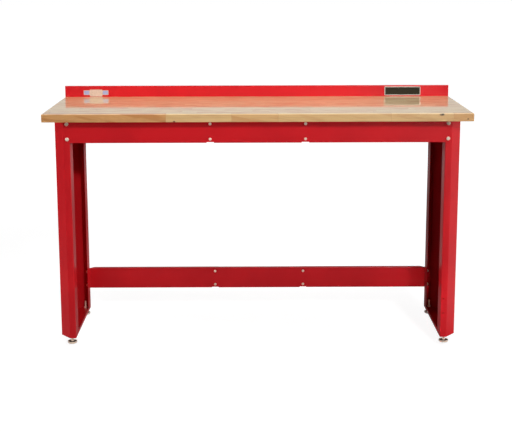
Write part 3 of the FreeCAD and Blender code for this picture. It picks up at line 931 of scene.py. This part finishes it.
class Chamfered:
    """Hexagons whose corners are turned off at 30 degrees, as on nuts and collars."""

    SLOPE = math.tan(math.radians(30))
    FACE_SHARE = 0.95

    def __init__(self, across: float, face_share: float = FACE_SHARE) -> None:
        """Set the width across the flats, and the round face's share of it."""
        self.outline = hexagon(across)
        self.face = across / 2 * face_share

    def rise(self, angle: float) -> float:
        """Return how far the chamfer reaches along the axis at an angle."""
        return (self.outline(angle) - self.face) * self.SLOPE

    def sides(self, shape: Turning, low: float, high: float) -> None:
        """Add a hexagon with both rims chamfered, as four rings."""
        shape.rings((self.face, low), (self.outline, lambda angle: low + self.rise(angle)),
                    (self.outline, lambda angle: high - self.rise(angle)), (self.face, high))


@dataclass(frozen=True)
class Bolt:
    """A round-headed bolt with a hexagon socket, its head's top on the origin, along -Z."""

    head: float
    head_tall: float
    shank: float
    length: float
    pitch: float
    socket: float
    segments: int = 48
    dome_steps: int = 7
    # Along the axis: shares of the head's height, of the socket's depth, or of the length
    socket_share: float = 0.72
    drill_tip_share: float = 1.12
    drill_rim_share: float = 1.04
    bevel_share: float = 0.06
    dome_share: float = 0.78
    skirt_share: float = 0.96
    plain_share: float = 0.22
    # Across: shares of the socket, the head or the shank
    drill_share: float = 0.30
    floor_share: float = 0.97
    mouth_share: float = 1.05
    crown_share: float = 0.66
    under_share: float = 0.985
    point_share: float = 0.8
    point_pitches: float = 0.6

    def build(self, name: str) -> bpy.types.Object:
        """Return the bolt as an object.

        Args:
            name: The object's name.

        Returns:
            The new object.
        """
        shape = Turning(self.segments)
        socket, tall = hexagon(self.socket), self.head_tall
        deep = tall * self.socket_share
        drill = self.socket * self.drill_share
        shape.start(-deep * self.drill_tip_share, drill, -deep * self.drill_rim_share)
        rim, radius = self.head / 2, self.shank / 2
        crown = self.socket * self.crown_share
        shape.rings((lambda angle: socket(angle) * self.floor_share, -deep),
                    (socket, -tall * self.bevel_share),
                    (lambda angle: socket(angle) * self.mouth_share, 0.0),
                    (crown, 0.0))
        for angle in arc(self.dome_steps)[1:]:
            drop = tall * self.dome_share * (1 - math.cos(angle))
            shape.ring(crown + (rim - crown) * math.sin(angle), -drop)
        plain, tip = tall + self.length * self.plain_share, tall + self.length
        shape.rings((rim, -tall * self.skirt_share), (rim * self.under_share, -tall),
                    (radius, -tall), (radius, -plain))
        Thread(self.shank, self.pitch).cut(shape, -plain, -tip + self.pitch * self.point_pitches)
        shape.ring(radius * self.point_share, -tip)
        shape.cap(-tip)
        return shape.done(name)


@dataclass(frozen=True)
class Nut:
    """A hexagon nut from the origin along +Z, with a chamfered bore."""

    across: float
    tall: float
    bore: float
    segments: int = 48
    bore_share: float = 1.006
    mouth_share: float = 1.12
    bevel_share: float = 0.07
    smooth_below: float = 0.35

    def build(self, name: str) -> bpy.types.Object:
        """Return the nut as an object.

        Args:
            name: The object's name.

        Returns:
            The new object.
        """
        shape = Turning(self.segments)
        radius, bevel = self.bore / 2 * self.bore_share, self.bore * self.bevel_share
        shape.ring(radius, bevel)
        first = shape.last
        shape.ring(radius * self.mouth_share, 0.0)
        Chamfered(self.across).sides(shape, 0.0, self.tall)
        shape.rings((radius * self.mouth_share, self.tall), (radius, self.tall - bevel))
        shape.close(first)
        return shape.done(name, self.smooth_below)


@dataclass(frozen=True)
class WoodScrew:
    """A hexagon-headed wood screw, its head's top on the origin, along +Z."""

    across: float
    head_tall: float
    shank: float
    length: float
    segments: int = 48
    # Along the axis: shares of the head's height, of the flange or of the shank
    flange_share: float = 0.3
    flange_edge_share: float = 0.7
    dimple_share: float = 0.16
    pitch_share: float = 0.42
    point_deep_share: float = 0.9
    # Across: shares of the head or the shank
    hexagon_share: float = 0.86
    face_share: float = 0.9
    dimple_floor_share: float = 0.24
    dimple_mouth_share: float = 0.33
    point_share: float = 0.7

    def build(self, name: str) -> bpy.types.Object:
        """Return the screw as an object.

        Args:
            name: The object's name.

        Returns:
            The new object.
        """
        shape = Turning(self.segments)
        tall, radius, outer = self.head_tall, self.shank / 2, self.across / 2
        flange = tall * self.flange_share
        head = Chamfered(self.across * self.hexagon_share, self.face_share)
        dimple = tall * self.dimple_share
        shape.start(dimple, self.across * self.dimple_floor_share, dimple)
        shape.rings((self.across * self.dimple_mouth_share, 0.0), (head.face, 0.0), (head.outline, head.rise),
                    (head.outline, tall - flange), (outer, tall - flange * self.flange_edge_share),
                    (outer, tall), (radius, tall))
        end = tall + self.length
        thread = Thread(self.shank, self.shank * self.pitch_share)
        thread.cut(shape, tall + self.shank, end - self.shank)
        shape.ring(radius * self.point_share, end - self.shank * self.point_deep_share)
        shape.cap(end)
        return shape.done(name)


class StampTree:
    """The Geometry Nodes tree that stamps one fastener on a set of points."""

    INPUTS = {
        "Points": "Geometry", "Fastener": "Object", "Aim": "Rotation", "Seed": "Int", "Finish": "Material",
    }
    # A Random Value node's sockets for plain numbers
    RANDOM_LOW, RANDOM_HIGH, RANDOM_RESULT = 2, 3, 1

    def __init__(self) -> None:
        """Build the tree and remember its named inputs."""
        self.tree = bpy.data.node_groups.new("fastener_row", "GeometryNodeTree")
        face = self.tree.interface
        self.inputs = {
            name: face.new_socket(name, in_out="INPUT", socket_type=f"NodeSocket{kind}").identifier
            for name, kind in self.INPUTS.items()
        }
        face.new_socket("Row", in_out="OUTPUT", socket_type="NodeSocketGeometry")
        self._wire()

    def _wire(self) -> None:
        """Join the nodes: stamp, turn each about its own axis, make real, dress."""
        nodes = self.tree.nodes
        source = nodes.new("NodeGroupInput")
        info = nodes.new("GeometryNodeObjectInfo")
        info.transform_space = "ORIGINAL"
        stamp = nodes.new("GeometryNodeInstanceOnPoints")
        spin = nodes.new("FunctionNodeRandomValue")
        spin.data_type = "FLOAT"
        spin.inputs[self.RANDOM_LOW].default_value = 0.0
        spin.inputs[self.RANDOM_HIGH].default_value = math.tau
        about = nodes.new("FunctionNodeAxisAngleToRotation")
        about.inputs["Axis"].default_value = (0.0, 0.0, 1.0)
        both = nodes.new("FunctionNodeRotateRotation")
        both.rotation_space = "LOCAL"
        real = nodes.new("GeometryNodeRealizeInstances")
        dress = nodes.new("GeometryNodeSetMaterial")
        end = nodes.new("NodeGroupOutput")
        for start, output, stop, socket in (
            (source, "Points", stamp, "Points"),
            (source, "Fastener", info, "Object"),
            (info, "Geometry", stamp, "Instance"),
            (source, "Seed", spin, "Seed"),
            (spin, self.RANDOM_RESULT, about, "Angle"),
            (source, "Aim", both, "Rotation"),
            (about, 0, both, "Rotate By"),
            (both, 0, stamp, "Rotation"),
            (stamp, 0, real, 0),
            (real, 0, dress, "Geometry"),
            (source, "Finish", dress, "Material"),
            (dress, 0, end, 0),
        ):
            self.tree.links.new(start.outputs[output], stop.inputs[socket])

    def row(self, name: str, places: Sequence[Vector], fastener: bpy.types.Object, aim: Side,
            seed: int, finish: bpy.types.Material) -> bpy.types.Object:
        """Stamp a fastener on each place.

        Args:
            name: The new piece's name.
            places: Where each fastener's origin goes.
            fastener: The shape to stamp.
            aim: Which way its +Z points.
            seed: What sets each one's turn about its own axis.
            finish: The material of the row.

        Returns:
            One plain mesh object that holds the row.
        """
        points = bpy.data.meshes.new(f"{name}_points")
        points.from_pydata([tuple(place) for place in places], [], [])
        carrier = in_scene(f"{name}_carrier", points)
        modifier = carrier.modifiers.new("Row", "NODES")
        modifier.node_group = self.tree
        for title, value in (("Fastener", fastener), ("Aim", aim.value), ("Seed", seed), ("Finish", finish)):
            modifier[self.inputs[title]] = value
        bpy.context.view_layer.update()
        evaluated = carrier.evaluated_get(bpy.context.evaluated_depsgraph_get())
        mesh = bpy.data.meshes.new_from_object(evaluated)
        mesh.name = name
        bpy.data.objects.remove(carrier)
        return in_scene(name, mesh)


@dataclass
class Fasteners:
    """The bench's bolts, nuts and screws, each row remade over its node."""

    nodes: dict[str, bpy.types.Object]
    finish: bpy.types.Material
    stamps: StampTree = field(default_factory=StampTree)
    body: str = "bench"
    leg_head_tall: float = 5.0 * MM
    leg_shank: float = 7.9 * MM
    leg_pitch: float = 1.411 * MM
    lap_head_tall: float = 3.8 * MM
    lap_shank: float = 6.3 * MM
    lap_pitch: float = 1.27 * MM
    screw_head_tall: float = 3.0 * MM
    screw_shank: float = 4.8 * MM
    stud_diameter: float = 9.5 * MM
    socket_share: float = 0.42

    def make(self) -> None:
        """Make every row."""
        for rail in ("front_apron", "rear_apron", "stretcher"):
            leg_side = Side.FRONT if rail == "front_apron" else Side.BACK
            lap_side = Side.BACK if rail == "rear_apron" else Side.FRONT
            self.bolts(f"{rail}_leg_bolts", leg_side, self.leg_head_tall, self.leg_shank, self.leg_pitch)
            self.bolts(f"{rail}_lap_bolts", lap_side, self.lap_head_tall, self.lap_shank, self.lap_pitch)
            self.nuts(f"{rail}_leg_nuts", leg_side.opposite, self.leg_shank)
            self.nuts(f"{rail}_lap_nuts", lap_side.opposite, self.lap_shank)
        self.screws("worktop_leg_screws", Side.UP)
        self.screws("worktop_apron_screws", Side.UP)
        self.screws("backsplash_screws", Side.FRONT)
        for name in ("foot_weld_nuts", "foot_jam_nuts"):
            self.nuts(name, Side.UP, self.stud_diameter)

    def _stamp(self, node: str, boxes: Sequence[Box], seat: Side, aim: Side,
               shape: Union[Bolt, Nut, WoodScrew]) -> None:
        """Stamp a row over its node and put the pattern away.

        Args:
            node: The node that the row replaces.
            boxes: The boxes of the node's solids.
            seat: The side of each box that the shape's origin goes to.
            aim: Which way the shape's +Z points.
            shape: The fastener to stamp.
        """
        pattern = shape.build(f"{node}_pattern")
        places = [box.end(seat) for box in boxes]
        # The length of the node's name is the seed, so that each row turns its own way
        row = self.stamps.row(f"{node}_detail", places, pattern, aim, len(node), self.finish)
        bpy.data.objects.remove(pattern)
        hand_over(row, self.body, Slot.ZINC, node)

    def bolts(self, node: str, side: Side, head_tall: float, shank: float, pitch: float) -> None:
        """Remake one row of bolts whose heads face a side.

        Args:
            node: The node that they replace.
            side: The side that their heads face.
            head_tall: The height of a head.
            shank: The diameter of a shank.
            pitch: The thread's pitch.
        """
        boxes = Solids.of(self.nodes[node])
        size = boxes[0].size
        shape = Bolt(size.x, head_tall, shank, size.y - head_tall, pitch, size.x * self.socket_share)
        self._stamp(node, boxes, side, side, shape)

    def nuts(self, node: str, aim: Side, bore: float) -> None:
        """Remake one row of nuts, seated on the side away from their aim.

        Args:
            node: The node that they replace.
            aim: The side that they face.
            bore: The diameter of their bolts or studs.
        """
        boxes = Solids.of(self.nodes[node])
        size = boxes[0].size
        tall = size.z if aim is Side.UP else size.y
        self._stamp(node, boxes, aim.opposite, aim, Nut(size.x, tall, bore))

    def screws(self, node: str, aim: Side) -> None:
        """Remake one row of wood screws, which point the way they are driven.

        Args:
            node: The node that they replace.
            aim: The side that they point to.
        """
        boxes = Solids.of(self.nodes[node])
        size = boxes[0].size
        long = size.z if aim is Side.UP else size.y
        shape = WoodScrew(size.x, self.screw_head_tall, self.screw_shank, long - self.screw_head_tall)
        self._stamp(node, boxes, aim.opposite, aim, shape)


@dataclass
class LevellingFeet:
    """The four feet: a pressed pad with a crimped socket, and a threaded stud."""

    finish: bpy.types.Material
    # The dish's dark finish is painted shade: it stands in for the leg's shadow and dark reflection in the
    # dish
    dish_shade: Lacquer = Lacquer("foot_dish", (0.075, 0.040, 0.030), 0.28, 0.5)
    stud_diameter: float = 9.5 * MM
    pitch: float = 1.5875 * MM
    sole: float = 18.5 * MM
    rim_tall: float = 9.0 * MM
    rim_wide: float = 2.5 * MM
    dish: float = 5.0 * MM
    hub: float = 10.0 * MM
    collar_tall: float = 6.0 * MM
    collar_gap: float = 0.05 * MM
    socket_floor: float = 3.0 * MM
    segments: int = 64
    curve_steps: int = 6
    # A pad's shares of the sole, the rim's width, the dish's height, the hub, the height and the socket
    sole_share: float = 0.5
    roll_share: float = 0.4
    dish_edge_share: float = 1.5
    rim_foot_share: float = 1.35
    fillet_share: float = 1.15
    neck_share: float = 0.98
    crimp_share: float = 0.86
    shoulder_share: float = 0.9
    mouth_share: float = 1.12
    mouth_height_share: float = 0.94
    # A stud's shares of its radius
    point_share: float = 0.7
    point_tall_share: float = 0.3
    plain_share: float = 0.98
    root_share: float = 0.9
    tip_share: float = 0.72
    # The least upward part of the normal of a face inside the rim that gets the dish's painted shade
    least_upward: float = -0.2

    def make(self) -> None:
        """Make the pad and the stud of each foot."""
        dish_shade = self.dish_shade.material()
        for foot in ("front_left", "front_right", "rear_left", "rear_right"):
            self.pad(foot, dish_shade)
            self.stud(foot)

    def _settle(self, made: bpy.types.Object, node: str, height: float, body: str) -> None:
        """Move a shape's mesh onto its node's axis and let it ride on its body.

        Args:
            made: The shape, on the origin.
            node: The node that it replaces.
            height: How far up it goes.
            body: The body that it moves with.
        """
        centre = Box(*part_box(node)).centre
        made.data.transform(Matrix.Translation((centre.x, centre.y, height)))
        hand_over(made, body, Slot.ZINC, node)

    def pad(self, foot: str, dish_shade: bpy.types.Material) -> None:
        """Turn one pad: a flat sole, a swept-up rim, a dished top and a socket.

        Args:
            foot: The foot's name.
            dish_shade: The dish's dark finish, painted shade that stands in for the leg's shadow and dark
                reflection.
        """
        node = f"{foot}_foot_pad"
        box = Box(*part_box(node))
        outer, tall = box.size.x / 2, box.size.z
        shape = Turning(self.segments)
        shape.start(0.0, self.sole * self.sole_share, 0.0)
        shape.ring(self.sole, 0.0)
        for angle in arc(self.curve_steps)[1:]:
            shape.ring(self.sole + (outer - self.sole) * math.sin(angle), self.dish * (1 - math.cos(angle)))
        roll = self.rim_wide * self.roll_share
        for angle in arc(self.curve_steps, math.pi):
            shape.ring(outer - roll + roll * math.cos(angle), self.rim_tall - roll + roll * math.sin(angle))
        socket = self.stud_diameter / 2 + self.collar_gap
        shape.rings(
            (outer - self.rim_wide, self.dish * self.rim_foot_share),
            (outer - self.rim_wide * self.dish_edge_share, self.dish),
            (self.hub * self.fillet_share, self.dish),
            (self.hub, self.dish * self.fillet_share),
            (self.hub * self.neck_share, tall * self.shoulder_share),
            (self.hub * self.crimp_share, tall),
            (socket * self.mouth_share, tall),
            (socket, tall * self.mouth_height_share),
            (socket, self.socket_floor),
        )
        shape.cap(self.socket_floor)
        made = shape.done(f"{node}_detail", finishes=(self.finish, dish_shade))
        # Faces inside the rim that look upward get the painted shade of the dish
        for face in made.data.polygons:
            inside = face.center.xy.length < outer - self.rim_wide
            face.material_index = int(inside and face.normal.z > self.least_upward)
        self._settle(made, node, box.low.z, f"{foot}_pad")

    def stud(self, foot: str) -> None:
        """Turn one stud: a plain foot in the socket, a hexagon collar and a thread.

        Args:
            foot: The foot's name.
        """
        node = f"{foot}_foot_stud"
        box = Box(*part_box(node))
        bottom, top, radius = box.low.z, box.high.z, self.stud_diameter / 2
        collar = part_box(f"{foot}_foot_pad")[1].z + self.collar_gap
        collar_top = collar + self.collar_tall
        shape = Turning(self.segments // 2)
        shape.start(bottom, radius * self.point_share, bottom)
        plain = radius * self.plain_share
        shape.rings((plain, bottom + radius * self.point_tall_share), (plain, collar))
        Chamfered(box.size.x).sides(shape, collar, collar_top)
        shape.ring(radius * self.root_share, collar_top)
        Thread(self.stud_diameter, self.pitch).cut(shape, collar_top, top - self.pitch)
        shape.ring(radius * self.tip_share, top)
        shape.cap(top)
        self._settle(shape.done(f"{node}_detail", finishes=(self.finish,)), node, 0.0, f"{foot}_stud")


@dataclass(frozen=True)
class Layer:
    """One outline of a flat piece that is built from its back to its front."""

    wide: float
    tall: float
    corner: float
    ahead: float
    finish: int = 0


@dataclass(frozen=True)
class PlateStep:
    """One outline of the plate: its insets, its corner and how far it stands ahead.

    The first inset is in widths of the border, the second and the distance ahead are
    in thicknesses, and the corner is a share of the plate's own.
    """

    border_share: float
    inset_share: float
    corner_share: float
    ahead_share: float
    finish: int = 0


@dataclass
class BacksplashTrim:
    """What is fixed to the backsplash's face: a bare plate and a plain label."""

    body: str = "bench"
    corner_steps: int = 6
    plate_x: float = 0.695
    plate_wide: float = 171 * MM
    plate_tall: float = 41.5 * MM
    plate_rise: float = 4.2 * MM
    plate_thick: float = 2.0 * MM
    border: float = 2.6 * MM
    border_corner_share: float = 1.2
    plate_steps: tuple[PlateStep, ...] = (
        PlateStep(0.0, 0.0, 1.0, 0.0), PlateStep(0.0, 0.0, 1.0, 0.7), PlateStep(0.0, 0.4, 1.0, 1.0),
        PlateStep(2.0, 0.0, 0.6, 1.0), PlateStep(2.0, 0.3, 0.6, 0.62), PlateStep(2.0, 0.4, 0.5, 0.6, 1),
    )
    label_x: float = -0.7676
    label_wide: float = 118 * MM
    label_tall: float = 22 * MM
    label_rise: float = 9.0 * MM
    label_thick: float = 0.25 * MM
    label_corner: float = 2.0 * MM
    block_wide: float = 60 * MM
    block_tall: float = 33 * MM
    block_rise: float = 1.5 * MM
    silver: Lacquer = Lacquer("plate_border", (0.74, 0.73, 0.66), 0.35, 0.4)
    field_black: Lacquer = Lacquer("plate_field", (0.022, 0.019, 0.010), 0.5, gloss=0.15)
    cream: Lacquer = Lacquer("label_cream", (0.62, 0.45, 0.35), 0.45)
    blue: Lacquer = Lacquer("label_blue", (0.35, 0.35, 0.55), 0.45)

    def make(self) -> None:
        """Make the plate and the label on the face over the worktop's rear edge."""
        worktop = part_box("worktop")[1]
        self.plate(worktop.y, worktop.z)
        self.label(worktop.y, worktop.z)

    def _outline(self, layer: Layer) -> list[Pair]:
        """Return a rectangle with round corners, counter-clockwise from its lower right.

        Args:
            layer: The layer to draw.

        Returns:
            Its points, across and up from its middle.
        """
        points = []
        for turn, (side, top) in enumerate(((1, -1), (1, 1), (-1, 1), (-1, -1))):
            x, z = side * (layer.wide / 2 - layer.corner), top * (layer.tall / 2 - layer.corner)
            for angle in arc(self.corner_steps):
                angle += QUARTER * (turn - 1)
                points.append((x + layer.corner * math.cos(angle), z + layer.corner * math.sin(angle)))
        return points

    def _stack(self, name: str, layers: Sequence[Layer], centre: Pair, face: float,
               *finishes: bpy.types.Material) -> None:
        """Build a flat piece from stacked outlines.

        Args:
            name: The piece's name.
            layers: Its outlines, from the backsplash outward, each with the number of the
                finish of the faces that lead to it.
            centre: The piece's middle, along X and Z.
            face: The backsplash's front, along Y.
            finishes: The piece's materials.
        """
        mesh = bmesh.new()
        last: Corners = ()
        for layer in layers:
            corners = [
                mesh.verts.new((centre[0] + x, face - layer.ahead, centre[1] + z))
                for x, z in self._outline(layer)
            ]
            if last:
                for side in band(mesh, last, corners):
                    side.material_index = layer.finish
            else:
                mesh.faces.new(corners[::-1])
            last = corners
        mesh.faces.new(last).material_index = layers[-1].finish
        bmesh.ops.recalc_face_normals(mesh, faces=mesh.faces)
        hand_over(as_object(mesh, name, finishes), self.body, Slot.ZINC)

    def plate(self, face: float, surface: float) -> None:
        """Make the bare dark plate with its silver border.

        Args:
            face: The backsplash's front, along Y.
            surface: The worktop's top, along Z.
        """
        layers = []
        for step in self.plate_steps:
            inset = self.border * step.border_share + self.plate_thick * step.inset_share
            layers.append(Layer(self.plate_wide - inset, self.plate_tall - inset,
                                self.border * self.border_corner_share * step.corner_share,
                                self.plate_thick * step.ahead_share, step.finish))
        centre = (self.plate_x, surface + self.plate_rise + self.plate_tall / 2)
        finishes = (self.silver.material(), self.field_black.material())
        self._stack("backsplash_plate", layers, centre, face, *finishes)

    def label(self, face: float, surface: float) -> None:
        """Make the plain label: a cream block over a strip with pale blue ends.

        Args:
            face: The backsplash's front, along Y.
            surface: The worktop's top, along Z.
        """
        cream, blue = self.cream.material(), self.blue.material()
        middle = surface + self.label_rise + self.label_tall / 2
        block_middle = surface + self.block_rise + self.block_tall / 2
        corner = self.label_corner
        end_wide = (self.label_wide - self.block_wide) / 2 - corner * 2
        end_tall = self.label_tall - corner * 2
        aside = self.label_wide / 2 - corner - end_wide / 2
        for name, wide, tall, round_corner, level, x, z, finish in (
            ("label_strip", self.label_wide, self.label_tall, corner, 0, 0.0, middle, cream),
            ("label_block", self.block_wide, self.block_tall, corner * 2, 1, 0.0, block_middle, cream),
            ("label_end_left", end_wide, end_tall, corner, 1, -aside, middle, blue),
            ("label_end_right", end_wide, end_tall, corner, 1, aside, middle, blue),
        ):
            back, front = (
                Layer(wide, tall, round_corner, self.label_thick * ahead) for ahead in (level, level + 1)
            )
            self._stack(name, (back, front), (self.label_x + x, z), face, finish)


@dataclass
class LapFlanges:
    """The top flanges of the stretcher's outer sections, where they run on through their laps."""

    finish: bpy.types.Material
    body: str = "bench"
    wall: float = 1.5 * MM
    bend: float = 1.5 * MM
    notch: float = 4.0 * MM
    slack: float = 0.05 * MM
    steps: int = 5

    def make(self) -> None:
        """Make the flange at each lap."""
        middle_low, middle_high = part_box("stretcher_centre")
        for name in ("left", "right"):
            low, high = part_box(f"stretcher_{name}")
            ends = (max(low.x, middle_low.x) + self.slack, min(high.x, middle_high.x) - self.slack)
            self._sheet(f"stretcher_{name}_lap_flange", ends, self._profile(low.y, high.y, high.z))

    def _profile(self, front: float, back: float, top: float) -> list[Pair]:
        """Draw the folded sheet's outline.

        Args:
            front: The web's front face, along Y.
            back: The flange's rear edge, along Y.
            top: The flange's top, along Z.

        Returns:
            Its points, along Y and Z.
        """
        outer = self.wall + self.bend
        foot = top - self.notch + self.slack
        turns = arc(self.steps)
        return [
            (front, foot),
            *((front + outer * (1 - math.cos(turn)), top - outer * (1 - math.sin(turn))) for turn in turns),
            (back, top),
            (back, top - self.wall),
            *((front + outer - self.bend * math.cos(turn), top - outer + self.bend * math.sin(turn))
              for turn in reversed(turns)),
            (front + self.wall, foot),
        ]

    def _sheet(self, name: str, ends: Pair, profile: Sequence[Pair]) -> None:
        """Draw the outline out along X.

        Args:
            name: The piece's name.
            ends: Where it starts and ends, along X.
            profile: Its outline, along Y and Z.
        """
        mesh = bmesh.new()
        left, right = ([mesh.verts.new((x, y, z)) for y, z in profile] for x in ends)
        mesh.faces.new(left)
        mesh.faces.new(right[::-1])
        band(mesh, left, right)
        bmesh.ops.recalc_face_normals(mesh, faces=mesh.faces)
        hand_over(as_object(mesh, name, (self.finish,)), self.body, Slot.RED_COAT)


@dataclass
class Coatings:
    """Dresses the frame's own nodes."""

    nodes: dict[str, bpy.types.Object]
    record: dict[str, Any]

    def apply(self, finishes: dict[str, bpy.types.Material]) -> None:
        """Give each node the finish of its slot.

        Args:
            finishes: The finish of each of the record's slots.
        """
        for row in self.record["subparts"]:
            materials = self.nodes[row["node"]].data.materials
            materials.clear()
            materials.append(finishes[row["material_slot"]])
        LOG.info("%d nodes dressed", len(self.record["subparts"]))


@dataclass(frozen=True)
class SoftBox:
    """One rectangular lamp, with its power in watts and its spread in degrees."""

    name: str
    place: Point
    size: Pair
    power: float
    aim: Point = (0.0, 0.0, 0.6)
    mirrored: bool = True
    spread: float = 180.0


@dataclass
class Studio:
    """The floor, the world, the lamps and the camera."""

    focal_pixels: float = 1072.8
    image_pixels: float = 512.0
    shift: float = -0.12
    camera_place: Point = (-0.0316, -4.7968, 1.6656)
    camera_turn: float = -0.0052
    camera_pitch: float = 0.1763
    camera_roll: float = -0.0020
    camera_range: float = 100.0
    floor_half: float = 40.0
    # Under the lowest setting of the feet, so that they show when they are screwed out
    floor_drop: float = 25.5 * MM
    floor_colour: Colour = (0.30, 0.30, 0.30)
    near_glow: float = 0.88
    # Where the floor starts to whiten and where it is white, from the bench's middle
    shadow_reach: Pair = (1.6, 4.8)
    # To the right the floor glows to glossy rays only: a painted reflection in the coat, which lights nothing
    painted_reflection_reach: Pair = (1.0, 1.5)
    painted_reflection_glow: float = 0.36
    world_colour: Colour = (1.0, 1.0, 1.0)
    ambient: float = 0.10
    front_gloss: float = 0.18
    back_gloss: float = 0.58
    # Where the world's gloss changes over, as the part of a direction along Y
    gloss_edges: Pair = (-0.3, 0.3)
    boxes: tuple[SoftBox, ...] = (
        SoftBox("key", (1.87, -6.1, 3.9), (0.5, 0.5), 248.0),
        SoftBox("low_left", (-2.3, -4.9, 1.2), (0.9, 0.7), 1.24, (-0.4, -0.2, 0.65), False, 26.0),
        SoftBox("low_right", (2.3, -4.9, 1.2), (0.9, 0.7), 0.90, (0.4, -0.2, 0.65), False, 26.0),
        SoftBox("stretcher_end", (0.55, -5.0, 0.4), (0.2, 0.2), 0.076, (0.76, 0.2, 0.17), False, 4.0),
        SoftBox("side_left", (-5.0, -0.5, 1.3), (0.8, 1.6), 15.5, mirrored=False, spread=60.0),
        SoftBox("side_right", (12.0, -4.0, 1.56), (1.6, 1.4), 770.0, mirrored=False),
        SoftBox("top", (0.0, -0.4, 2.7), (2.4, 0.5), 6.4, (0.0, 0.05, 1.09), spread=64.0),
        SoftBox("back", (0.0, 5.0, 1.6), (2.4, 1.6), 60.0, mirrored=False),
    )

    def make(self) -> None:
        """Build the whole studio."""
        self.world()
        self.floor()
        self.lamps()
        self.camera()

    def camera(self) -> None:
        """Stand the camera at the photograph's viewing angle."""
        data = bpy.data.cameras.new("camera")
        data.lens = data.sensor_width * self.focal_pixels / self.image_pixels
        data.shift_y = self.shift
        data.clip_end = self.camera_range
        camera = in_scene("camera", data)
        turn = (Matrix.Rotation(self.camera_turn, 4, "Z")
                @ Matrix.Rotation(QUARTER - self.camera_pitch, 4, "X")
                @ Matrix.Rotation(self.camera_roll, 4, "Z"))
        camera.matrix_world = Matrix.Translation(self.camera_place) @ turn
        bpy.context.scene.camera = camera

    def world(self) -> None:
        """Fill the world: white to the camera, dim to the rest, and pale to gloss, most so at the back."""
        world = bpy.data.worlds.new("studio")
        sheet = NodeSheet(world, "ShaderNodeOutputWorld")
        path = sheet.node("ShaderNodeLightPath")
        camera, gloss, through = (
            Signal(sheet, path.outputs[name])
            for name in ("Is Camera Ray", "Is Glossy Ray", "Is Transmission Ray")
        )
        backward = sheet.split(sheet.read("ShaderNodeTexCoord", "Generated"))[1]
        mirrored = sheet.span(backward, *self.gloss_edges, self.front_gloss, self.back_gloss)
        seen = gloss.larger(through) * (mirrored - self.ambient) + self.ambient
        sockets = {"Color": self.world_colour, "Strength": camera.larger(seen)}
        sheet.close(sheet.node("ShaderNodeBackground", None, sockets))
        bpy.context.scene.world = world
        bpy.context.scene.view_settings.view_transform = "Standard"

    def floor(self) -> None:
        """Lay the pale floor: white far off, with the bench's soft shadow near it, and to the right a painted
        reflection that only gloss sees.
        """
        half, low = self.floor_half, -self.floor_drop
        mesh = bpy.data.meshes.new("floor")
        mesh.from_pydata([(-half, -half, low), (half, -half, low), (half, half, low), (-half, half, low)], [],
                         [(0, 1, 2, 3)])
        floor = in_scene("floor", mesh)
        shader = Shader("floor")
        x, y, _ = shader.split(shader.place())
        far = shader.span((x * x + y * y) ** 0.5, *self.shadow_reach)
        camera = shader.read("ShaderNodeLightPath", "Is Camera Ray")
        gloss = shader.read("ShaderNodeLightPath", "Is Glossy Ray")
        glow = camera * (far * (1.0 - self.near_glow) + self.near_glow)
        # A painted reflection: the floor on the right glows to glossy rays only
        glow = gloss * shader.span(x, *self.painted_reflection_reach, 0.0, self.painted_reflection_glow) + glow
        paint = shader.read("ShaderNodeBsdfDiffuse", sockets={"Color": self.floor_colour})
        light = shader.read("ShaderNodeEmission", sockets={"Strength": glow})
        shader.close(shader.node("ShaderNodeAddShader", sockets={0: paint, 1: light}))
        mesh.materials.append(shader.material)

    def lamps(self) -> None:
        """Hang every soft box."""
        for box in self.boxes:
            data = bpy.data.lights.new(box.name, "AREA")
            data.shape = "RECTANGLE"
            data.size, data.size_y = box.size
            data.energy = box.power
            data.spread = math.radians(box.spread)
            lamp = in_scene(box.name, data)
            lamp.location = box.place
            lamp.rotation_mode = "QUATERNION"
            lamp.rotation_quaternion = (Vector(box.aim) - Vector(box.place)).to_track_quat("-Z", "Y")
            lamp.visible_camera = False
            lamp.visible_glossy = box.mirrored


def main() -> None:
    """Dress the bench and build its studio."""
    logging.basicConfig(level=logging.INFO, format="%(name)s: %(message)s")
    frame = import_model()
    nodes = frame["nodes"]
    finishes = {
        Slot.HARDWOOD.value: Hardwood().material(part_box("worktop")[0].y),
        Slot.RED_COAT.value: PowderCoat().material(),
        Slot.ZINC.value: ZincPlate().material(),
    }
    Coatings(nodes, frame["record"]).apply(finishes)
    Fasteners(nodes, finishes[Slot.ZINC.value]).make()
    LevellingFeet(finishes[Slot.ZINC.value]).make()
    BacksplashTrim().make()
    LapFlanges(finishes[Slot.RED_COAT.value]).make()
    Studio().make()


if __name__ == "__main__":
    main()
